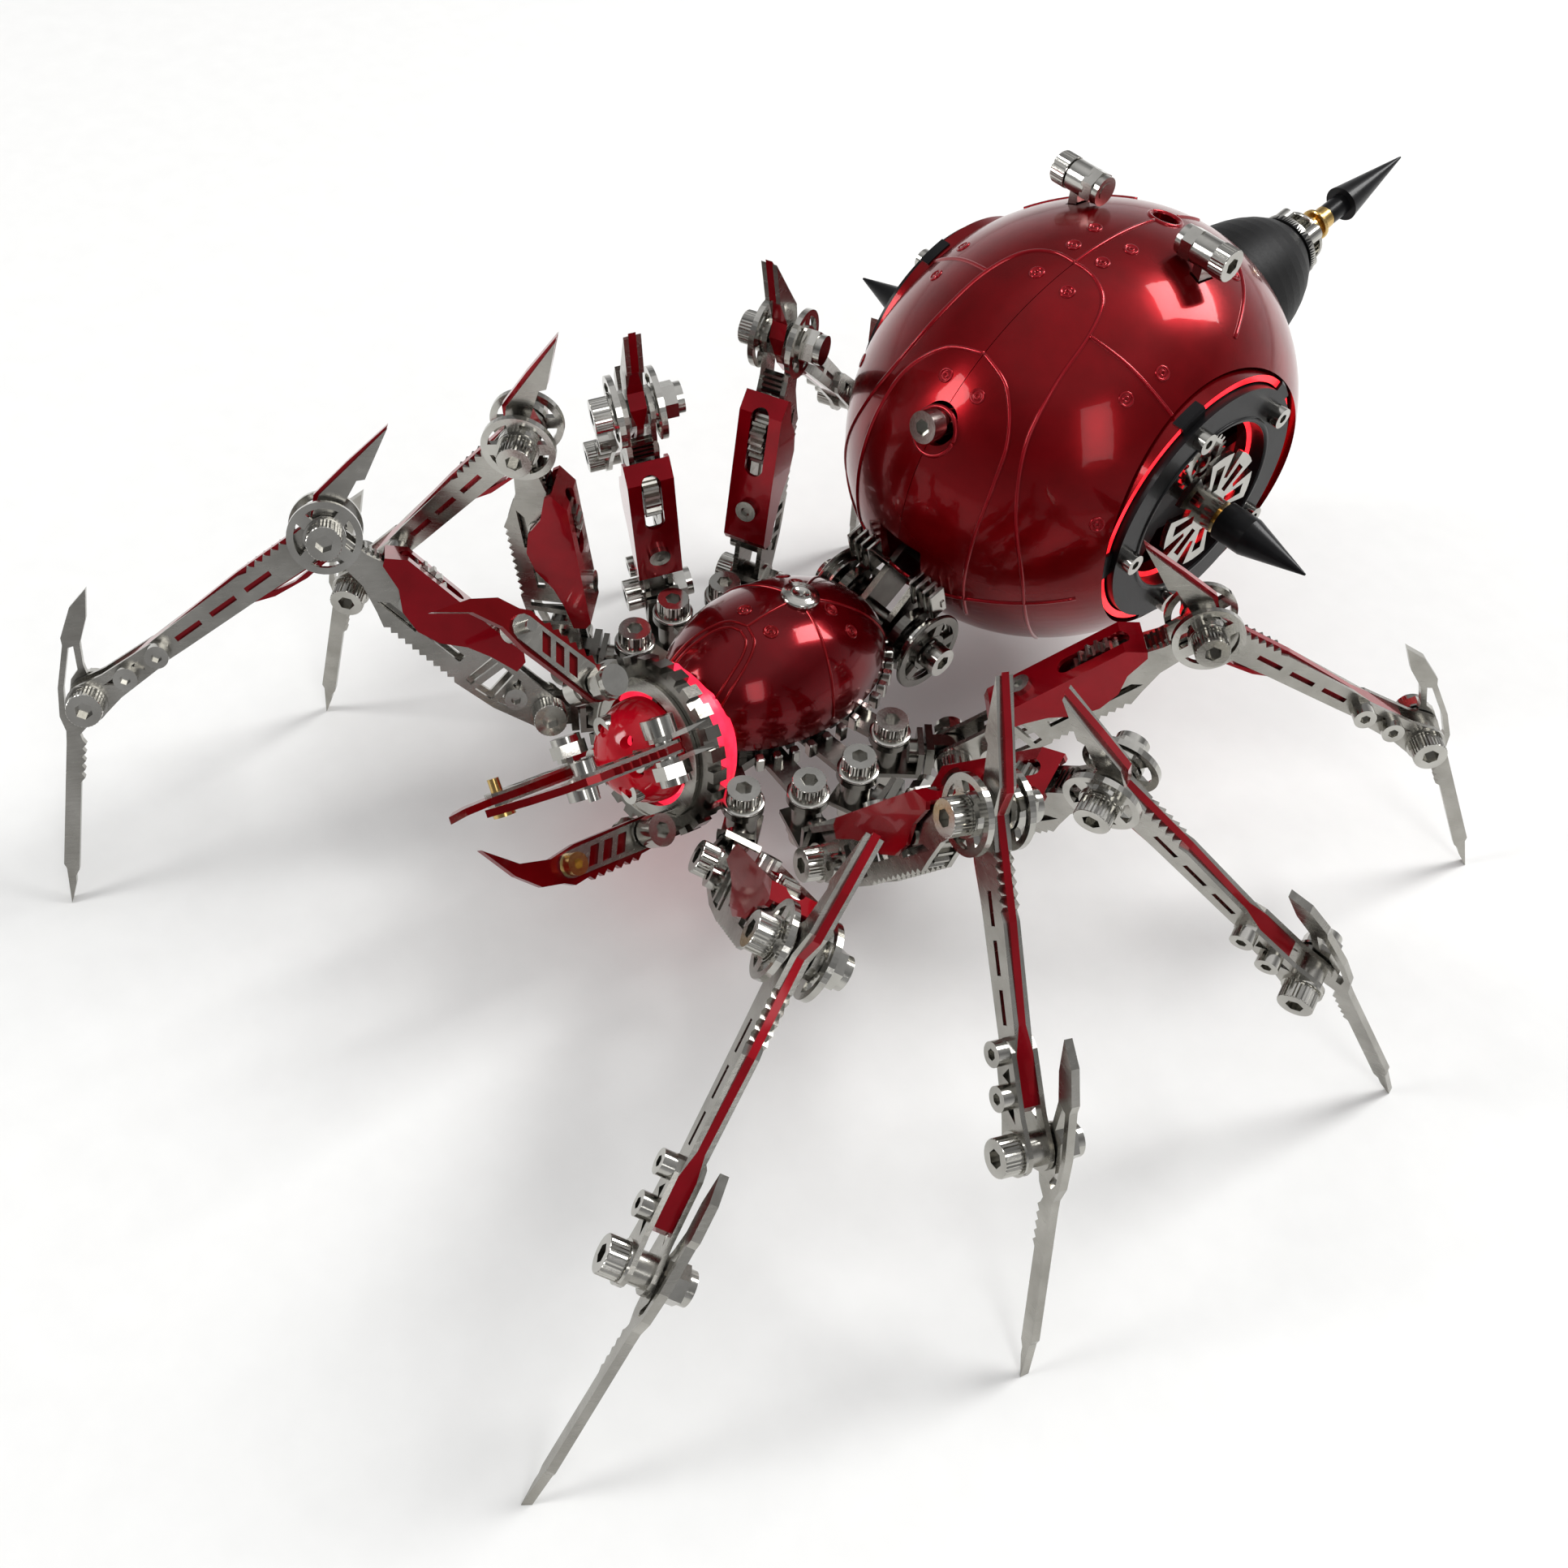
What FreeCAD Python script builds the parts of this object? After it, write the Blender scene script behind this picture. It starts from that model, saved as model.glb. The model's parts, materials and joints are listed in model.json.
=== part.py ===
import FreeCAD, Part
import math
import os

# Eight-legged metal spider kit model.  Millimetres, +Z up, head toward -Y,
# the spider's left side toward +X, floor at Z = 0.

os.makedirs("parts", exist_ok=True)
doc = FreeCAD.newDocument("spider")

# ---------------------------------------------------------------- driving dimensions
DIMS = {
    "shank_three": 3.0, "head_three": 5.5, "head_three_height": 3.0, "socket_three": 2.9,
    "nut_three": 6.2, "nut_three_height": 3.4, "washer_three": 6.6, "washer_height": 0.4,
    "shank_two": 2.0, "head_two": 3.8, "head_two_height": 2.0, "socket_two": 1.8,
    "bore_clearance": 0.05, "gap": 0.3,
    "hip_height": 26.3, "coxa_length": 11.25, "femur_length": 47.8, "tibia_length": 48.0,
    "tarsus_length": 38.9, "tarsus_offset": 2.0, "tarsus_lateral": 3.2, "tip_sink": 0.25,
    "femur_plate": 0.9, "femur_plate_offset": 2.2, "tibia_plate": 0.8, "tibia_plate_offset": 1.0,
    "tibia_core": 1.2, "ankle_plate": 0.8, "ankle_plate_offset": 1.8, "tarsus_plate": 1.4,
    "cover_width": 8.0, "cover_wall": 0.7, "cover_top": 5.8, "cover_length": 29.0, "cover_start": 9.6,
    "knee_wheel": 12.0, "knee_wheel_thick": 1.0, "femur_gear": 10.0, "femur_gear_thick": 2.6,
    "deck_height": 29.4, "deck_plate": 1.3, "arm_width": 4.4, "arm_end": 7.2,
    "thorax_width": 31.0, "thorax_length": 45.0, "thorax_rise": 14.0, "shell_wall": 1.2,
    "track_height": 2.0, "ring_outer": 31.0, "ring_inner": 23.0, "ring_thick": 3.0,
    "dome_radius": 9.0, "neck_radius": 10.5, "neck_length": 3.7,
    "abdomen_length": 88.0, "abdomen_height": 76.0, "abdomen_width": 76.0, "abdomen_wall": 1.5,
    "side_opening": 25.0, "drum_radius": 21.5, "drum_half": 25.6, "axle_half": 37.6,
    "side_wheel": 23.0, "side_wheel_thick": 1.0, "spike_length": 17.8, "spike_radius": 3.5,
    "tail_base": 13.5, "tail_end": 5.6, "tail_length": 24.0, "spear_length": 18.5, "spear_radius": 3.5,
}
dims = doc.addObject("Spreadsheet::Sheet", "Dims")
for row, (alias, number) in enumerate(DIMS.items(), 1):
    dims.set("A%d" % row, alias)
    dims.set("B%d" % row, str(number))
    dims.setAlias("B%d" % row, alias)
doc.recompute()

V = FreeCAD.Vector
X_AXIS, Y_AXIS, Z_AXIS = V(1, 0, 0), V(0, 1, 0), V(0, 0, 1)
ORIGIN = V(0, 0, 0)
D = DIMS                                   # plain numbers, for layout arithmetic only

# ---------------------------------------------------------------- layout of the body
DECK_TOP = D["deck_height"] + D["deck_plate"]
THORAX = V(0, 5.2, 34.6)                   # centre of the thorax shell
THORAX_TILT = 8.5                          # the shell rises toward the head
HEAD = V(0, -21.5, 33.0)                   # centre of the head ring
HEAD_TILT = 15.0
WAIST = V(0, 32.0, 30.0)                   # waist hinge, axis along X
ABDOMEN = V(0, 77.0, 52.5)                 # centre of the abdomen shell
ABDOMEN_TILT = 7.0
SIDE_AXLE = V(0, 76.0, 54.0)               # side wheel axle, axis along X
TAIL = V(0, 116.0, 61.2)                   # root of the tail cone
TAIL_TILT = 11.5

# the row frame's origin is the middle of the overall footprint, on the floor
FRAME = FreeCAD.Placement(FreeCAD.Vector(-20.7, -31.9, 0), FreeCAD.Rotation())

# hip bolt positions (mirrored for the right side), front to rear
HIPS = [(17.0, -17.0), (22.5, -7.5), (24.0, 2.5), (21.5, 12.5)]
# yaw from straight sideways, roll, femur elevation, tarsus depression, in degrees
POSES = {
    "R1": (-58.7, 26.2, 46.0, 78.3), "R2": (-41.6, 0.9, 82.0, 77.2),
    "R3": (25.1, -6.6, 97.3, 89.9), "R4": (67.6, -1.2, 77.9, 91.2),
    "L1": (-52.1, 26.3, 44.4, 53.8), "L2": (-19.3, 12.3, 56.7, 64.7),
    "L3": (18.8, -12.5, 49.2, 60.9), "L4": (48.2, 6.8, 37.8, 63.2),
}


# ---------------------------------------------------------------- small helpers
def rotation(axis, degrees):
    return FreeCAD.Rotation(axis, degrees)


def facing(direction):
    """Rotation that turns +Z into the direction."""
    return FreeCAD.Rotation(Z_AXIS, V(*direction))


def assign(obj, **values):
    """Plain numbers are set, strings are bound as expressions."""
    for name, value in values.items():
        if isinstance(value, str):
            obj.setExpression(name, value)
        else:
            setattr(obj, name, value)
    return obj


def solid(kind, name, base=(0, 0, 0), direction=(0, 0, 1), **values):
    obj = assign(doc.addObject("Part::" + kind, name), **values)
    obj.Placement = FreeCAD.Placement(V(*base), facing(direction))
    return obj


def rod(name, radius, length, base=(0, 0, 0), direction=(0, 0, 1)):
    return solid("Cylinder", name, base, direction, Radius=radius, Height=length)


def block(name, low, high):
    """Box between two corners."""
    obj = doc.addObject("Part::Box", name)
    assign(obj, Length=high[0] - low[0], Width=high[1] - low[1], Height=high[2] - low[2])
    obj.Placement.Base = V(*low)
    return obj


def fused(name, shapes):
    obj = doc.addObject("Part::MultiFuse", name)
    obj.Shapes = shapes
    return obj


def cut(name, base, tools):
    obj = doc.addObject("Part::Cut", name)
    obj.Base = base
    obj.Tool = tools[0] if len(tools) == 1 else fused(name + "_tools", tools)
    return obj


def group(name, shapes, placement=None):
    obj = doc.addObject("Part::Compound", name)
    obj.Links = shapes
    if placement is not None:
        obj.Placement = placement
    return obj


def mirrored(name, source, normal=Y_AXIS):
    obj = doc.addObject("Part::Mirroring", name)
    obj.Source = source
    obj.Normal = normal
    obj.Base = ORIGIN
    return obj


def ring_points(count, radius, phase=0.0, centre=(0, 0)):
    """Points evenly spread round a circle."""
    angles = [math.radians(phase + 360.0 * k / count) for k in range(count)]
    return [(centre[0] + radius * math.cos(a), centre[1] + radius * math.sin(a)) for a in angles]


def gear_points(teeth, outer, root, duty=0.5):
    """Square-toothed outline, four points for each tooth."""
    points = []
    for k in range(teeth):
        start = 2 * math.pi * k / teeth
        width = 2 * math.pi * duty / teeth
        for angle, radius in ((start, root), (start, outer), (start + width, outer), (start + width, root)):
            points.append((radius * math.cos(angle), radius * math.sin(angle)))
    return points


def arc_points(centre, radius, start, stop, count):
    """Points along an arc, angles in degrees."""
    step = (stop - start) / (count - 1)
    angles = [math.radians(start + k * step) for k in range(count)]
    return [(centre[0] + radius * math.cos(a), centre[1] + radius * math.sin(a)) for a in angles]


def saw(start, stop, teeth, level, depth):
    """Saw-tooth run along an edge from start to stop."""
    pitch = (stop - start) / teeth
    points = []
    for k in range(teeth):
        points.append((start + k * pitch, level))
        points.append((start + (k + 0.55) * pitch, level + depth))
    points.append((stop, level))
    return points


def plate(name, outline, thickness, holes=(), windows=(), placement=None):
    """Flat plate drawn in the body's XZ plane and padded evenly about it."""
    body = doc.addObject("PartDesign::Body", name)
    sketch = body.newObject("Sketcher::SketchObject", name + "_sketch")
    plane = [f for f in body.Origin.OriginFeatures if f.Role == "XZ_Plane"][0]
    sketch.AttachmentSupport = [(plane, "")]
    sketch.MapMode = "FlatFace"
    for loop in [outline] + list(windows):
        corners = [V(x, z, 0) for x, z in loop]
        edges = [Part.LineSegment(a, b) for a, b in zip(corners, corners[1:] + corners[:1])]
        sketch.addGeometry(edges, False)
    for x, z, radius in holes:
        sketch.addGeometry(Part.Circle(V(x, z, 0), Z_AXIS, radius), False)
    pad = body.newObject("PartDesign::Pad", name + "_pad")
    pad.Profile = sketch
    pad.Midplane = True
    assign(pad, Length=thickness)
    if placement is not None:
        body.Placement = placement
    return body


def turned(name, outline):
    """Hollow body of revolution about its own X: (along, radius) points swept right round."""
    body = doc.addObject("PartDesign::Body", name)
    sketch = body.newObject("Sketcher::SketchObject", name + "_sketch")
    plane = [f for f in body.Origin.OriginFeatures if f.Role == "XZ_Plane"][0]
    sketch.AttachmentSupport = [(plane, "")]
    sketch.MapMode = "FlatFace"
    corners = [V(x, z, 0) for x, z in outline]
    sketch.addGeometry([Part.LineSegment(a, b) for a, b in zip(corners, corners[1:] + corners[:1])], False)
    sweep = body.newObject("PartDesign::Revolution", name + "_turn")
    sweep.Profile = sketch
    sweep.ReferenceAxis = (sketch, ["H_Axis"])
    sweep.Angle = 360
    return body


def across(offset):
    """Placement that shifts a plate sideways along its own Y."""
    return FreeCAD.Placement(V(0, offset, 0), FreeCAD.Rotation())


def cap_screw(name, size, length):
    """Socket screw along +Z: head below Z = 0, shank above it."""
    head = rod(name + "_head", "Dims.head_%s / 2" % size, "Dims.head_%s_height" % size)
    head.Placement.Base = V(0, 0, -D["head_%s_height" % size])
    socket = solid("Prism", name + "_socket", Polygon=6, Circumradius="Dims.socket_%s / 2" % size,
                   Height="Dims.head_%s_height / 2" % size)
    socket.Placement.Base = V(0, 0, -D["head_%s_height" % size])
    shank = rod(name + "_shank", "Dims.shank_%s / 2" % size, length)
    return cut(name, fused(name + "_blank", [head, shank]), [socket])


def lock_nut(name):
    """M3 lock nut along +Z with a round collar on top."""
    flats = solid("Prism", name + "_flats", Polygon=6, Circumradius="Dims.nut_three / 2",
                  Height="Dims.nut_three_height * 0.65")
    collar = rod(name + "_collar", "Dims.nut_three / 2 * 0.84", "Dims.nut_three_height")
    return fused(name, [flats, collar])


def placed(name, source, base, direction):
    """One more copy of a finished shape, its +Z turned to the direction."""
    return group(name, [source], FreeCAD.Placement(V(*base), facing(direction)))


# ---------------------------------------------------------------- hardware shared by the parts
BORE = D["shank_three"] / 2 + D["bore_clearance"]
nut = lock_nut("lock_nut")
washer = rod("washer", "Dims.washer_three / 2", "Dims.washer_height")


def cross_bolt(name, at, head_side, nut_side):
    """M3 screw, washer and lock nut clamping along local Y at a point (x, z)."""
    head_seat = -head_side - D["washer_height"]
    nut_seat = nut_side + D["washer_height"]
    screw = cap_screw(name + "_screw", "three", nut_seat - head_seat + 0.5)
    x, z = at
    return [
        placed(name + "_bolt", screw, (x, head_seat, z), (0, 1, 0)),
        placed(name + "_washer_head", washer, (x, head_seat, z), (0, 1, 0)),
        placed(name + "_washer_nut", washer, (x, nut_side, z), (0, 1, 0)),
        placed(name + "_nut", nut, (x, nut_seat, z), (0, 1, 0)),
    ]


# ---------------------------------------------------------------- leg part: coxa
coxa_flange_low = -3.6
coxa_flange = block("coxa_flange", (-3.6, -3.2, coxa_flange_low), (6.0, 3.2, coxa_flange_low + 1.0))
coxa_upright = block("coxa_upright", (5.0, -3.2, coxa_flange_low), (6.0, 3.2, 2.6))
coxa_post = rod("coxa_post", 2.6, 5.5, (0, 0, -2.6))
deck_rel = D["deck_height"] - D["hip_height"]
yaw_screw = cap_screw("yaw_screw", "three", D["deck_plate"] + deck_rel - coxa_flange_low + 1.0)
yaw_seat = deck_rel + D["deck_plate"] + 0.1
yaw_bolt = placed("yaw_bolt", yaw_screw, (0, 0, yaw_seat + 0.4), (0, 0, -1))
yaw_washer = placed("yaw_washer", washer, (0, 0, yaw_seat), (0, 0, 1))
yaw_nut = placed("yaw_nut", nut, (0, 0, coxa_flange_low), (0, 0, -1))
roll_head = rod("roll_head", 2.2, 1.5, (3.6, 0, 0), (1, 0, 0))
roll_shank = rod("roll_shank", 1.4, 3.0, (5.0, 0, 0), (1, 0, 0))
coxa_bracket = fused("coxa_bracket", [coxa_flange, coxa_upright, coxa_post, yaw_bolt, yaw_washer,
                                      yaw_nut, roll_head, roll_shank])
tongue_face = 6.3
tongue_back = block("tongue_back", (tongue_face, -3.3, -3.3), (tongue_face + 1.3, 3.3, 3.3))
tongue_bar = block("tongue_bar", (tongue_face + 1.0, -1.4, -2.7), (D["coxa_length"], 1.4, 2.7))
tongue_end = rod("tongue_end", 2.7, 2.8, (D["coxa_length"], -1.4, 0), (0, 1, 0))
tongue_bore = rod("tongue_bore", BORE, 4.0, (D["coxa_length"], -2.0, 0), (0, 1, 0))
tongue_socket = rod("tongue_socket", 1.46, 2.2, (tongue_face - 0.1, 0, 0), (1, 0, 0))
tongue = cut("tongue", fused("tongue_blank", [tongue_back, tongue_bar, tongue_end]),
             [tongue_bore, tongue_socket])

# ---------------------------------------------------------------- leg part: femur frame
KNEE = D["femur_length"]
femur_outline = (
    arc_points((0, 0), 3.2, 240, 110, 8)
    + [(4.0, 2.8), (38.0, 2.6), (41.0, 1.9), (KNEE - 3.2, 1.9)]
    + arc_points((KNEE, 0), 3.2, 145, -145, 12)
    + [(KNEE - 4.4, -2.0), (38.0, -2.6), (33.5, -4.6)]
    + saw(31.0, 16.0, 10, -5.9, 0.7)
    + [(8.0, -5.2)]
)
femur_windows = [
    [(5.0, -3.4), (7.4, 1.4), (8.2, 1.4), (8.2, -4.1)],
    [(9.2, -4.3), (9.2, 1.4), (11.4, 1.4), (12.6, -4.6)],
    [(13.6, -4.5), (12.6, 1.4), (14.2, 1.4), (15.0, -4.3)],
    [(17.6, -2.6), (17.6, -1.2), (24.6, -1.2), (24.6, -2.6)],
    [(26.6, -3.2), (26.6, -2.0), (33.0, -2.0), (34.6, -3.2)],
]
femur_plates = [
    plate("femur_plate_%s" % side, femur_outline, "Dims.femur_plate", (), femur_windows,
          across(sign * D["femur_plate_offset"]))
    for side, sign in (("front", -1), ("rear", 1))
]
femur_side = D["femur_plate_offset"] + D["femur_plate"] / 2
two_screw = cap_screw("two_screw", "two", 2 * femur_side)
femur_pins = [
    placed("femur_pin", two_screw, (6.6, -femur_side, -1.2), (0, 1, 0)),
    rod("femur_spacer", 1.7, 4.0, (6.6, -2.0, -1.2), (0, 1, 0)),
    rod("femur_rivet", 1.6, 2 * femur_side + 0.6, (30.6, -femur_side - 0.3, -0.2), (0, 1, 0)),
]
femur_gear = plate("femur_gear", gear_points(16, D["femur_gear"] / 2, D["femur_gear"] / 2 - 0.9),
                   "Dims.femur_gear_thick", [], [],
                   FreeCAD.Placement(V(30.6, 0, 0.6), FreeCAD.Rotation()))
gear_hub = rod("gear_hub", 1.8, 4.0, (30.6, -2.0, 0.6), (0, 1, 0))
ladder = block("ladder", (38.4, -1.8, 1.1), (42.0, 1.8, 1.8))
rungs = [block("rung_%d" % k, (38.4 + 1.0 * k, -1.8, 1.7), (38.9 + 1.0 * k, 1.8, 2.6)) for k in range(4)]
saddle = block("saddle", (15.0, -1.8, 1.0), (19.0, 1.8, D["cover_top"] - D["cover_wall"] - 0.06))
wheel_windows = []
for quarter in range(4):
    start = 90 * quarter + 12
    wheel_windows.append(arc_points((KNEE, 0), 4.9, start, start + 66, 7)
                         + arc_points((KNEE, 0), 3.4, start + 60, start + 6, 5))
wheel_seat = femur_side + D["gap"]
knee_wheels = [
    plate("knee_wheel_%s" % side, ring_points(48, D["knee_wheel"] / 2, 0, (KNEE, 0)),
          "Dims.knee_wheel_thick", [], wheel_windows,
          across(sign * (wheel_seat + D["knee_wheel_thick"] / 2)))
    for side, sign in (("front", -1), ("rear", 1))
]
knee_spacers = [
    rod("knee_spacer_%s" % side, 2.8, 0.8, (KNEE, base, 0), (0, 1, 0))
    for side, base in (("front", -wheel_seat - 0.2), ("rear", femur_side - 0.2))
]
knee_side = wheel_seat + D["knee_wheel_thick"]
femur_frame = fused("femur_frame_left",
                    femur_plates + femur_pins + [femur_gear, gear_hub, ladder, saddle] + rungs
                    + knee_wheels + knee_spacers
                    + cross_bolt("knee", (KNEE, 0), knee_side, knee_side)
                    + cross_bolt("pitch", (0, 0), femur_side, femur_side))

# ---------------------------------------------------------------- leg part: femur cover
cover_stop = D["cover_start"] + D["cover_length"]
cover_half = D["cover_width"] / 2
cover_low = 0.6
flank_outline = [
    (D["cover_start"], D["cover_top"] - 1.0), (D["cover_start"] + 1.2, D["cover_top"]),
    (cover_stop - 3.0, D["cover_top"]), (cover_stop, D["cover_top"] - 2.2),
    (cover_stop - 0.6, 2.4), (cover_stop - 5.0, cover_low + 0.4), (cover_stop - 8.0, -1.6),
    (cover_stop - 12.0, -2.6), (cover_stop - 16.0, -1.8), (D["cover_start"] + 9.0, 0.6),
    (D["cover_start"] + 5.0, 1.8), (D["cover_start"], 2.6),
]
roof_outline = [
    (D["cover_start"], D["cover_top"] - 1.0), (D["cover_start"] + 1.2, D["cover_top"]),
    (cover_stop - 3.0, D["cover_top"]), (cover_stop, D["cover_top"] - 2.2),
    (cover_stop - 0.7, D["cover_top"] - 2.7), (cover_stop - 3.3, D["cover_top"] - 0.7),
    (D["cover_start"] + 1.5, D["cover_top"] - 0.7), (D["cover_start"] + 0.5, D["cover_top"] - 1.5),
]
cover_flanks = [
    plate("cover_flank_%s" % side, flank_outline, "Dims.cover_wall", (), (),
          across(sign * (cover_half - D["cover_wall"] / 2)))
    for side, sign in (("front", -1), ("rear", 1))
]
cover_roof = plate("cover_roof", roof_outline, "Dims.cover_width")
slot_low = block("slot_low", (25.4, -1.7, 2.0), (35.0, 1.7, 8.0))
slot_ends = [rod("slot_end_%d" % k, 1.7, 6.0, (x, 0, 2.0)) for k, x in enumerate((25.4, 35.0))]
cover_blank = fused("cover_blank", cover_flanks + [cover_roof])
cover_open = cut("cover_open", cover_blank, [slot_low] + slot_ends)
cover_button = rod("cover_button", 1.9, 1.2, (17.0, 0, D["cover_top"] - 0.1))
button_socket = solid("Prism", "button_socket", (17.0, 0, D["cover_top"] + 0.5), Polygon=6,
                      Circumradius="Dims.socket_two / 2", Height=2.0)
femur_cover = fused("femur_cover_left", [cover_open, cut("cover_button_cut", cover_button, [button_socket])])

# ---------------------------------------------------------------- leg part: tibia
ANKLE = D["tibia_length"]
tibia_outline = (
    [(-3.0, -1.0), (-4.2, 1.6), (-9.4, 4.0), (-10.6, 3.4), (-18.5, 7.9), (-10.0, 6.6), (-3.2, 5.6),
     (0.6, 3.0), (5.6, 2.7)]
    + saw(6.0, 14.0, 5, 2.2, 0.8)
    + [(15.5, 2.6), (30.0, 2.2), (41.6, 1.7), (42.6, 0.0), (41.6, -1.7), (30.0, -2.1), (15.0, -2.4),
       (4.0, -2.8), (0.0, -3.0)]
)
tibia_slots = [
    [(x, -0.45), (x + 5.0, -0.45), (x + 5.0, 0.45), (x, 0.45)] for x in (11.0, 18.0, 25.0)
]
core_outline = (
    [(-3.0, -1.0), (-4.2, 1.6), (-9.4, 4.0), (-11.0, 3.6), (-18.9, 8.2), (-10.0, 7.2), (-2.4, 6.0),
     (0.6, 3.0), (15.5, 3.0), (30.0, 2.2), (41.6, 1.7), (42.6, 0.0), (41.6, -1.7), (30.0, -2.1),
     (17.0, -2.3), (13.0, -3.7), (7.0, -4.3), (2.6, -3.9), (0.0, -3.0)]
)
core_crescent = [(3.6, -3.2), (13.0, -2.8), (9.0, -3.6)]
tibia_plates = [
    plate("tibia_plate_%s" % side, tibia_outline, "Dims.tibia_plate", [(0, 0, BORE)], tibia_slots,
          across(sign * D["tibia_plate_offset"]))
    for side, sign in (("front", -1), ("rear", 1))
]
tibia_red = plate("tibia_red", core_outline, "Dims.tibia_core", [(0, 0, BORE)], [core_crescent])
ankle_outline = (
    arc_points((ANKLE, 0), 3.3, 105, -105, 11)
    + [(ANKLE - 5.0, -2.4), (33.6, -2.0), (32.0, -1.2), (31.6, 0.0), (32.0, 1.2), (33.6, 2.0),
       (ANKLE - 5.0, 2.4)]
)
ankle_window = [(35.8, 0.9), (37.0, -0.9), (38.0, 0.5), (39.2, -0.9), (40.2, 0.5), (41.4, -1.0),
                (43.8, 0.9)]
ankle_plates = [
    plate("ankle_plate_%s" % side, ankle_outline, "Dims.ankle_plate", [], [ankle_window],
          across(sign * D["ankle_plate_offset"]))
    for side, sign in (("front", -1), ("rear", 1))
]
ankle_side = D["ankle_plate_offset"] + D["ankle_plate"] / 2
ankle_bush = rod("ankle_bush", 2.5, 2 * ankle_side - 0.2, (ANKLE, -ankle_side + 0.1, 0), (0, 1, 0))
ankle_screw = cap_screw("ankle_screw", "two", 2 * ankle_side - 0.3)
ankle_pins = [
    placed("ankle_pin_%d" % k, ankle_screw, (x, -ankle_side, 0), (0, 1, 0))
    for k, x in enumerate((33.6, 39.9))
]
tarsus_outer = D["tarsus_lateral"] + D["tarsus_plate"] / 2 + D["gap"]
tibia = fused("tibia_left", tibia_plates + [tibia_red] + ankle_plates + [ankle_bush] + ankle_pins
              + cross_bolt("ankle", (ANKLE, 0), ankle_side, tarsus_outer))

# ---------------------------------------------------------------- leg part: tarsus
TIP = D["tarsus_length"]
tarsus_outline = (
    [(-18.0, 1.4), (-14.5, 3.8), (-9.2, 5.0), (-8.0, 4.7), (-0.5, 5.2), (4.5, 4.8), (7.0, 3.7), (9.0, 3.6),
     (31.5, 3.5), (32.3, 3.0), (TIP, D["tarsus_offset"]), (35.0, 1.4), (33.6, 1.5), (32.4, 1.0), (17.0, 1.1)]
    + saw(16.0, 8.4, 5, 1.1, -0.6)
    + [(7.4, 1.5), (5.6, 0.2)]
    + arc_points((0, 0), 3.0, -10, -190, 12)
    + [(-5.0, 1.4), (-8.6, 2.0), (-13.0, 1.2)]
)
tarsus_window = [[(-8.0, 3.0), (-4.0, 2.2), (-2.2, 3.2), (2.4, 3.4), (4.4, 2.4), (5.2, 3.0), (3.9, 3.9),
                  (-0.5, 4.3), (-7.6, 3.8)]]
tarsus_blade = plate("tarsus_left", tarsus_outline, "Dims.tarsus_plate", [(0, 0, BORE)], tarsus_window,
                     across(D["tarsus_lateral"]))

LEFT = {"bracket": coxa_bracket, "tongue": tongue, "frame": femur_frame, "cover": femur_cover,
        "tibia": tibia, "tarsus": tarsus_blade}
RIGHT = {key: mirrored(shape.Name + "_mirror", shape) for key, shape in LEFT.items()}

# ---------------------------------------------------------------- place the eight legs
parts = []
joints = []


def finish(obj, label):
    """Name a finished sub-part, move it into the row frame and list it for export."""
    obj.Label = label
    obj.Placement = FRAME.multiply(obj.Placement)
    parts.append(obj)
    return obj


def tibia_depression(roll, femur, tarsus, lateral):
    """Tibia angle that brings the middle of the foot edge just through the floor."""
    lean = math.radians(roll)
    reach = D["tarsus_length"] * math.sin(math.radians(tarsus)) \
        - D["tarsus_offset"] * math.cos(math.radians(tarsus))
    rise = D["femur_length"] * math.sin(math.radians(femur)) - reach
    drop = D["hip_height"] + D["tip_sink"] + lateral * math.sin(lean) + math.cos(lean) * rise
    return math.degrees(math.asin(drop / (D["tibia_length"] * math.cos(lean))))


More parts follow.
